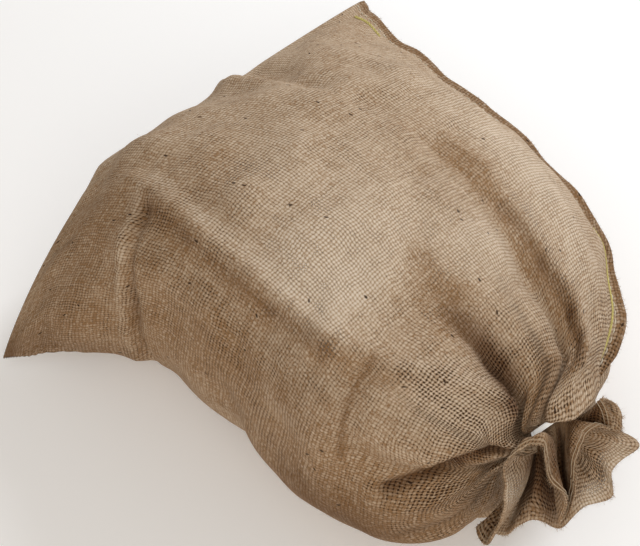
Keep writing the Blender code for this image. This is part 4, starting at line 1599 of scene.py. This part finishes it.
@dataclass(frozen=True)
class Burlap:
    """Plain weave of thick, uneven jute threads.

    warp_pitch and weft_pitch are the distances between threads. close_half and open_half are
    half a thread's width, in pitches, where the weave is close and where it is pulled open.
    bark_cells is how many places for a bit of bark there are to the metre, and bark_share the
    share of them that stay empty.
    """

    name: str = "burlap_weave"
    warp_pitch: float = 0.00250
    weft_pitch: float = 0.00295
    close_half: float = 0.560
    open_half: float = 0.275
    light: Colour = (0.545, 0.402, 0.266, 1.0)
    brown: Colour = (0.290, 0.166, 0.079, 1.0)
    # paler colour painted on the threads' crests as a highlight
    pale: Colour = (0.760, 0.665, 0.560, 1.0)
    # painted shadow seen through the gaps between the threads
    hole: Colour = (0.046, 0.020, 0.008, 1.0)
    filling: Colour = (0.800, 0.730, 0.640, 1.0)
    speck: Colour = (0.045, 0.022, 0.012, 1.0)
    # tint of the painted shade
    gloom: Colour = (0.30, 0.21, 0.15, 1.0)
    shadow: Colour = (0.13, 0.075, 0.038, 1.0)
    lit: Colour = (1.0, 1.0, 1.0, 1.0)
    relief: float = 0.0007
    roughness: float = 0.88
    bark_cells: float = 110.0
    bark_share: float = 0.962
    patch_scale: float = 34.0
    slant_scale: float = 18.0
    blotch_scale: float = 16.0
    mottle_scale: float = 560.0
    glimpse_scale: float = 300.0

    def material(self) -> bpy.types.Material:
        """Build the node material.

        Returns:
            The finished material.
        """
        look = Surface(self.name, Roughness=self.roughness, Specular_IOR_Level=0.10,
                       Sheen_Weight=0.02, Sheen_Roughness=0.6)
        parts = look.node("SeparateXYZ", Vector=look.node("UVMap", {"uv_map": "Cloth"}))
        u, v = parts, parts.beside(1)
        here = look.place(u, v)
        opened, pale, dark, edge, browner = (
            look.attribute(name) for name in ("open", "pale", "dark", "edge", "brown"))
        warp = Threads(look, WARP, u, v, self.warp_pitch)
        weft = Threads(look, WEFT, v, u, self.weft_pitch)
        # the cloth is pulled open in patches, and in streaks along its threads
        patchy = look.noise(here, self.patch_scale) - 0.5
        slant = (look.noise(look.place(u, v, 51.0), self.slant_scale) - 0.5) * 1.6
        base = opened + patchy * 1.35 + pale * 0.15
        halves = (self.close_half, self.open_half)
        round_a = warp.roundness((base + warp.streaks() * 1.9 + slant).held(), *halves)
        round_b = weft.roundness((base + weft.streaks() * 1.9 - slant).held(), *halves)
        # each thread goes over and under those that cross it
        over_a = ((weft.course - 0.5 + warp.number) * math.pi).cosine()
        over_b = ((warp.course - 0.5 + weft.number) * math.pi).cosine() * -1.0
        inside_a, inside_b = (rounded.rising(-0.15, 0.25) for rounded in (round_a, round_b))
        top_a, top_b = (
            inside * (rounded.larger(0.0).root() * 0.44 + over * 0.23 + 0.31)
            for inside, rounded, over in ((inside_a, round_a, over_a), (inside_b, round_b, over_b)))
        height, covered = top_a.larger(top_b), inside_a.larger(inside_b)
        is_warp = (top_a - top_b).rising(-0.03, 0.03)
        fibre = warp.fibres() * is_warp + weft.fibres() * (1.0 - is_warp)
        tone = warp.tone() * is_warp + weft.tone() * (1.0 - is_warp)
        # colour of the threads, over soft blotches of the whole cloth, with a painted highlight on
        # their crests and painted shade towards their edges
        crossing = look.chance(look.place(warp.number, weft.number, 17.0)) - 0.5
        blotch = look.noise(look.place(u, v, 21.0), self.blotch_scale, 3.0, 0.6)
        mottle = look.noise(here, self.mottle_scale, 3.0) - 0.5
        warmth = (tone - 0.5) * 1.5 + (blotch - 0.5) * 0.6 + (fibre - 0.5) * 1.7
        warmth = warmth + mottle * 2.2 + 0.36 + crossing * 0.20 + dark * 0.10
        warmth = (warmth + edge * 0.45 + browner * 0.40 - pale * 0.40).held()
        crest = height.rising(0.66, 1.0) * (1.0 - warmth)
        painted_crest_highlight = (crest * (pale * 0.50 + 0.52 - browner * 0.22)).held()
        colour = look.mix(look.mix(self.light, self.brown, warmth), self.pale, painted_crest_highlight)
        colour = look.mix(colour, self.speck, self.bark(look, u, v, mottle) * 0.92)
        shade = height + crossing * 0.10 + (fibre - 0.5) * 0.25 + mottle * 0.75 + pale * 0.12
        shaded = look.mix(self.shadow, self.lit, shade.rising(0.24, 0.93))
        colour = look.mix(colour, shaded, 1.0, "MULTIPLY")
        # the filling shows pale between the threads where the cloth lies on it; elsewhere the gaps
        # are painted near black, as the shadow inside the sack
        glimpse = look.noise(look.place(u, v, 41.0), self.glimpse_scale, 1.0).rising(0.40, 0.62)
        glimpse = (pale * 2.0).held() * (glimpse * 0.5 + 0.5)
        through = look.mix(self.hole, self.filling, glimpse)
        colour = look.mix(through, colour, covered)
        # painted shade in folds, creases and the throat, and a little on the seam's sewn edge
        colour = look.mix(colour, self.gloom, (dark * 0.85 + edge * 0.25).held(), "MULTIPLY")
        look.feed("Base Color", colour)
        look.bump(height + (fibre - 0.5) * 0.14 * covered, self.relief)
        return look.material

    def bark(self, look: Surface, u: Value, v: Value, mottle: Value) -> Value:
        """Dark bits of bark, a few millimetres long, at most one to a cell.

        Args:
            look: The material being made.
            u: Distance across the cloth.
            v: Distance along the cloth.
            mottle: Fine noise that makes their edges ragged.

        Returns:
            1 on a bit of bark and 0 beside it.
        """
        cell_u, cell_v = (u * self.bark_cells).floor(), (v * self.bark_cells).floor()
        aside, ahead, lean, present = (
            look.chance(look.place(cell_u, cell_v, depth)) for depth in (61.0, 67.0, 71.0, 73.0))
        lean = lean * 2.0 - 1.0
        off_u = u * self.bark_cells - cell_u - (aside * 0.6 + 0.2)
        off_v = v * self.bark_cells - cell_v - (ahead * 0.6 + 0.2)
        size = ((off_u * 7.5 + off_v * lean * 6.0).squared()
                + (off_v * 3.4 - off_u * lean * 2.6).squared())
        present = present.rising(self.bark_share, self.bark_share + 0.001)
        return (1.0 - (size + mottle * 1.2).rising(0.35, 0.65)) * present


@dataclass(frozen=True)
class Thread:
    """A twisted sewing thread, or a single hair."""

    name: str
    colour: Colour
    shadow: Colour
    roughness: float = 0.75

    def material(self) -> bpy.types.Material:
        """Build the node material."""
        look = Surface(self.name, Roughness=self.roughness, Specular_IOR_Level=0.3)
        where = look.own_place()
        twist = look.noise(where, 1500.0)
        share = (twist.rising(0.35, 0.65) * 0.6 + look.noise(where, 120.0, 1.0) * 0.5).held()
        look.feed("Base Color", look.mix(self.shadow, self.colour, share))
        look.bump(twist, 0.0003)
        return look.material


@dataclass(frozen=True)
class MouldedPlastic:
    """Smooth white plastic of the tie, with a faint grain and a little dirt, and a painted glow that
    lightens it where it lies in shade.
    """

    name: str = "white_plastic"
    colour: Colour = (0.95, 0.95, 0.93, 1.0)
    dirt: Colour = (0.66, 0.61, 0.52, 1.0)
    # painted glow, so the plastic stays bright in the shade of the cloth
    glow: float = 0.38

    def material(self) -> bpy.types.Material:
        """Build the node material."""
        # the emission is a painted glow, not a lamp
        look = Surface(self.name, Specular_IOR_Level=0.5, Coat_Roughness=0.2,
                       Emission_Color=self.colour, Emission_Strength=self.glow)
        where = look.own_place()
        grain = look.noise(where, 900.0)
        dirty = look.noise(where, 160.0, 3.0).rising(0.52, 0.72)
        look.feed("Base Color", look.mix(self.colour, self.dirt, dirty * 0.35))
        look.feed("Roughness", grain * 0.16 + 0.28)
        look.bump(grain, 0.00008)
        return look.material


@dataclass(frozen=True)
class StudioFloor:
    """Plain pale floor."""

    name: str = "studio_floor"
    colour: Colour = (0.975, 0.985, 1.0, 1.0)
    glow: float = 0.10

    def material(self) -> bpy.types.Material:
        """Build the material."""
        return Surface(self.name, Base_Color=self.colour, Roughness=0.9,
                       Emission_Color=self.colour, Emission_Strength=self.glow).material


PALE_TWINE = Thread("pale_twine", (0.80, 0.74, 0.62, 1.0), (0.50, 0.41, 0.29, 1.0))
HEM_TWINE = Thread("hem_twine", (0.58, 0.47, 0.34, 1.0), (0.33, 0.23, 0.14, 1.0))
YELLOW_THREAD = Thread("yellow_thread", (0.74, 0.66, 0.24, 1.0), (0.46, 0.38, 0.12, 1.0))
JUTE_HAIR = Thread("jute_hair", (0.56, 0.42, 0.28, 1.0), (0.36, 0.24, 0.14, 1.0))


# ------------------------------------------------------------------ sewing


class Strands:
    """Thin closed tubes that are gathered into one mesh."""

    def __init__(self) -> None:
        """Start without any."""
        self.points: list[list[float]] = []
        self.faces: list[tuple[int, ...]] = []

    def add(self, path: np.ndarray, radius: np.ndarray | float, sides: int) -> None:
        """Add a tube along a path.

        Args:
            path: Its points.
            radius: Its radius, or the radius at each point.
            sides: How many sides it has.
        """
        start, radii = len(self.points), np.broadcast_to(radius, len(path))[:, None, None]
        course = unit(np.gradient(path, axis=0))
        reference = np.where(np.abs(course[:, 2:3]) < 0.9, [[0.0, 0.0, 1.0]], [[1.0, 0.0, 0.0]])
        side = unit(np.cross(reference, course))
        rise = np.cross(course, side)
        turn = (2 * math.pi * np.arange(sides) / sides)[None, :, None]
        rings = path[:, None] + radii * (np.cos(turn) * side[:, None] + np.sin(turn) * rise[:, None])
        self.points.extend(rings.reshape(-1, 3).tolist())
        for i in range(start, start + (len(path) - 1) * sides, sides):
            self.faces.extend((i + k, i + (k + 1) % sides, i + sides + (k + 1) % sides, i + sides + k)
                              for k in range(sides))
        first = tuple(range(start, start + sides))
        self.faces += [first[::-1], tuple(k + (len(path) - 1) * sides for k in first)]

    def made(self, name: str, finish: Thread) -> bpy.types.Object:
        """All the tubes as one object."""
        return new_object(name, np.array(self.points), self.faces, finish.material())


@dataclass
class SeamStitching:
    """Running stitches of pale twine at the seam, and a chain of yellow thread beside it."""

    sack: FilledSack
    columns: int = 14
    probe: float = 0.004
    seam_ends: tuple[float, float] = (0.004, 0.478)
    stitch: float = 0.0052
    gap: float = 0.0030
    arch: float = 0.0007
    twine_radius: float = 0.00055
    twine_offset: float = 0.0010
    link: float = 0.0046
    link_step: float = 0.72
    link_half: float = 0.0012
    yellow_radius: float = 0.00042
    yellow_offset: float = 0.0095
    yellow_stretches: tuple[tuple[float, float], ...] = ((0.022, 0.060), (0.345, 0.468))

    def above(self, offset: float, along: float, height: float) -> np.ndarray:
        """A point over the cloth beside the seam.

        Args:
            offset: Distance from the seam on the upper side, in metres.
            along: Distance from the bottom edge.
            height: Height over the cloth.

        Returns:
            The point.
        """
        first = self.sack.allowance_steps
        strip = self.sack.body[:, first:first + self.columns]
        row = float(np.interp(along, self.sack.alongs, np.arange(len(strip))))
        i = min(int(row), len(strip) - 2)
        points = strip[i] * (1 - (row - i)) + strip[i + 1] * (row - i)
        arc = length_along(points)
        ahead = points_at(strip[i + 1] - strip[i], arc, offset)
        across = (points_at(points, arc, min(offset + self.probe, arc[-1]))
                  - points_at(points, arc, max(offset - self.probe, 0.0)))
        place = points_at(points, arc, offset) + self.sack.form.shift
        return place + unit(np.cross(across, ahead)) * height

    def build(self) -> list[bpy.types.Object]:
        """Make the two rows of stitches."""
        return [self.running_stitches(), self.chain_stitches()]

    def running_stitches(self) -> bpy.types.Object:
        """Short stitches of pale twine, each arched over the cloth."""
        strands = Strands()
        at, end = self.seam_ends
        pick = np.random.default_rng(3)
        radius = self.twine_radius * np.array([0.5, 0.9, 1.0, 1.0, 0.9, 0.5])
        while at < end:
            length = self.stitch * pick.uniform(0.85, 1.15)
            strands.add(np.array([self.above(self.twine_offset, at + t * length,
                                             self.arch * math.sin(math.pi * t) - 0.0001)
                                  for t in np.linspace(0.0, 1.0, len(radius))]), radius, 6)
            at += length + self.gap * pick.uniform(0.8, 1.2)
        return strands.made("seam_twine", PALE_TWINE)

    def chain_stitches(self) -> bpy.types.Object:
        """Interlaced loops of yellow thread."""
        strands = Strands()
        for start, end in self.yellow_stretches:
            for at in np.arange(start, end, self.link * self.link_step):
                strands.add(np.array([self.above(
                    self.yellow_offset + self.link_half * math.sin(turn),
                    at + 0.5 * self.link * (1 - math.cos(turn)),
                    0.0004 + 0.0003 * math.cos(turn))
                    for turn in 2 * math.pi * np.linspace(0.0, 1.0, 11)]), self.yellow_radius, 5)
        return strands.made("seam_chain", YELLOW_THREAD)


@dataclass
class HemTwine:
    """Two thin lines of twine sewn along the hem of the mouth."""

    sack: FilledSack
    from_hem: tuple[float, float] = (0.0018, 0.0048)
    radius: float = 0.00032
    lift: float = 0.0003
    wave: float = 0.00035

    def build(self) -> bpy.types.Object:
        """Make the two lines, on the outer face."""
        mouth = self.sack.mouth
        outward = outward_normals(mouth)
        lengths = lengths_down(mouth)
        # lengths are taken from the hem, so every column is read backwards
        from_hem = (lengths[-1] - lengths)[::-1]
        columns = range(mouth.shape[1])
        wave = np.sin(np.arange(len(columns)) * 2 * math.pi / 5.0)
        strands = Strands()
        for distance in self.from_hem:
            ring, rise = (np.array([points_at(grid[::-1, j], from_hem[:, j], distance)
                                    for j in columns]) for grid in (mouth, outward))
            path = ring + unit(rise) * (self.lift + self.wave * wave)[:, None]
            strands.add(closed(path + self.sack.form.shift), self.radius, 5)
        return strands.made("hem_twine", HEM_TWINE)


@dataclass
class LooseFibres:
    """Fine jute hairs that stand off the cloth and fray from its edges."""

    sack: FilledSack
    body_count: int = 1500
    hem_count: int = 1500
    seam_count: int = 400
    radius: float = 0.00008
    seed: int = 21

    def __post_init__(self) -> None:
        """Start without hairs."""
        self.pick = np.random.default_rng(self.seed)
        self.strands = Strands()

    def hair(self, root: np.ndarray, way: np.ndarray, lengths: tuple[float, float],
             curls: tuple[float, float]) -> None:
        """Add one curved hair.

        Args:
            root: Where it leaves the cloth.
            way: The direction in which it does.
            lengths: Its least and greatest length.
            curls: How far it bends aside at least and at most, as a share of its length.
        """
        length, curl = self.pick.uniform(*lengths), self.pick.uniform(*curls)
        bend = unit(self.pick.normal(size=3)) * curl
        steps = np.linspace(0.0, 1.0, 5)[:, None]
        path = root + way * length * steps + bend * length * steps**2 + self.sack.form.shift
        path[:, 2] = np.maximum(path[:, 2], 0.0004)
        self.strands.add(path, self.radius * np.array([1.0, 0.95, 0.85, 0.7, 0.4]), 3)

    def build(self) -> bpy.types.Object:
        """Make all hairs as one mesh."""
        pick, body, mouth = self.pick, self.sack.body, self.sack.mouth
        body_out, mouth_out = outward_normals(body), outward_normals(mouth)
        steps = self.sack.allowance_steps
        for _ in range(self.body_count):
            i = pick.integers(2, len(body) - 3)
            j = pick.integers(steps + 2, body.shape[1] - steps - 2)
            if body[i, j, 2] < 0.006:
                continue
            along = unit(body[i + 1, j] - body[i, j])
            round_it = unit(body[i, j + 1] - body[i, j])
            turn = pick.uniform(0, 2 * math.pi)
            flat = along * math.cos(turn) + round_it * math.sin(turn)
            way = unit(flat + body_out[i, j] * pick.uniform(0.15, 0.9))
            self.hair(body[i, j], way, (0.0020, 0.0055), (0.1, 0.5))
        for _ in range(self.hem_count):
            j = pick.integers(0, mouth.shape[1])
            beyond = unit(mouth[-1, j] - mouth[-3, j])
            way = unit(beyond + mouth_out[-1, j] * pick.normal(0, 0.6) + pick.normal(0, 0.35, 3))
            self.hair(mouth[-1, j], way, (0.0008, 0.0032), (0.3, 1.2))
        for _ in range(self.seam_count):
            i = pick.integers(2, len(body) - 12)
            way = unit(unit(body[i, 0] - body[i, steps]) + pick.normal(0, 0.5, 3))
            self.hair(body[i, 0], way, (0.0008, 0.0025), (0.1, 0.6))
        return self.strands.made("loose_fibres", JUTE_HAIR)


# ------------------------------------------------------------------ studio


@dataclass(frozen=True)
class Lamp:
    """A soft square lamp that faces the sack. Its power is in watts."""

    name: str
    place: tuple[float, float, float]
    power: float
    size: float
    colour: tuple[float, float, float]

    def build(self) -> None:
        """Hang the lamp."""
        data = bpy.data.lights.new(self.name, "AREA")
        data.energy = self.power
        data.color = self.colour
        data.shape = "SQUARE"
        data.size = self.size
        made = bpy.data.objects.new(self.name, data)
        made.location = self.place
        made.rotation_euler = Vector(self.place).to_track_quat("Z", "Y").to_euler()
        bpy.context.scene.collection.objects.link(made)


@dataclass
class Studio:
    """Floor, soft lights and the camera, which stands to the left of the mouth."""

    shift: np.ndarray
    azimuth: float = math.radians(-45.0)
    elevation: float = math.radians(55.0)
    distance: float = 1.35
    lens: float = 100.0
    target_height: float = 0.072
    floor_half: float = 12.0
    floor_below: float = 0.0002
    sky: Colour = (1.0, 0.935, 0.86, 1.0)
    sky_strength: float = 0.48
    lamps: tuple[Lamp, ...] = (
        Lamp("key_light", (1.20, 0.16, 1.10), 12.8, 0.45, (0.93, 0.965, 1.0)),
        Lamp("fill_light", (-1.1, -1.1, 1.0), 10.2, 1.6, (1.0, 0.93, 0.83)),
    )

    def build(self) -> None:
        """Set the scene up."""
        self.floor()
        self.surroundings()
        for lamp in self.lamps:
            lamp.build()
        self.camera()

    def floor(self) -> None:
        """A plain sheet under the sack."""
        corners = self.floor_half * np.array([(-1, -1, 0), (1, -1, 0), (1, 1, 0), (-1, 1, 0)])
        corners[:, 2] -= self.floor_below
        made = new_object("floor", corners, [(0, 1, 2, 3)], StudioFloor().material())

    def surroundings(self) -> None:
        """Even warm light from all round."""
        world = bpy.data.worlds.new("studio")
        world.use_nodes = True
        light = world.node_tree.nodes["Background"]
        light.inputs["Color"].default_value = self.sky
        light.inputs["Strength"].default_value = self.sky_strength
        bpy.context.scene.world = world
        bpy.context.scene.view_settings.view_transform = "Standard"

    def camera(self) -> None:
        """The camera, with a long lens."""
        data = bpy.data.cameras.new("camera")
        data.lens = self.lens
        data.sensor_width = 36.0
        made = bpy.data.objects.new("camera", data)
        back = Vector((math.sin(self.azimuth) * math.cos(self.elevation),
                       -math.cos(self.azimuth) * math.cos(self.elevation),
                       math.sin(self.elevation)))
        target = Vector((*self.shift[:2], self.target_height))
        made.location = target + back * self.distance
        made.rotation_euler = back.to_track_quat("Z", "Y").to_euler()
        bpy.context.scene.collection.objects.link(made)
        bpy.context.scene.camera = made


def main() -> None:
    """Load the frame, build and dress the sack, and set the studio up."""
    logging.basicConfig(level=logging.INFO, format="%(name)s: %(message)s")
    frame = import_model()
    deselect()
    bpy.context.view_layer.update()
    low, high = (np.array(corner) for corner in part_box("tie"))
    form = SackForm(shift=np.zeros(3))
    form.shift = 0.5 * (low + high) - np.array(form.neck_centre)
    LOG.info("form placed by the tie, moved by %s", np.round(form.shift, 5).tolist())

    sack = FilledSack(form, Burlap().material())
    cloth = sack.build()
    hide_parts("sack")
    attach(cloth, BODY)
    LOG.info("%s: %d faces", cloth.name, len(cloth.data.polygons))

    pieces = SeamStitching(sack).build() + [HemTwine(sack).build(), LooseFibres(sack).build()]
    for piece in pieces:
        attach(piece, BODY)
        LOG.info("%s: %d faces", piece.name, len(piece.data.polygons))

    for slot in frame["nodes"]["tie"].material_slots:
        slot.material = MouldedPlastic().material()
    Studio(form.shift).build()


if __name__ == "__main__":
    main()
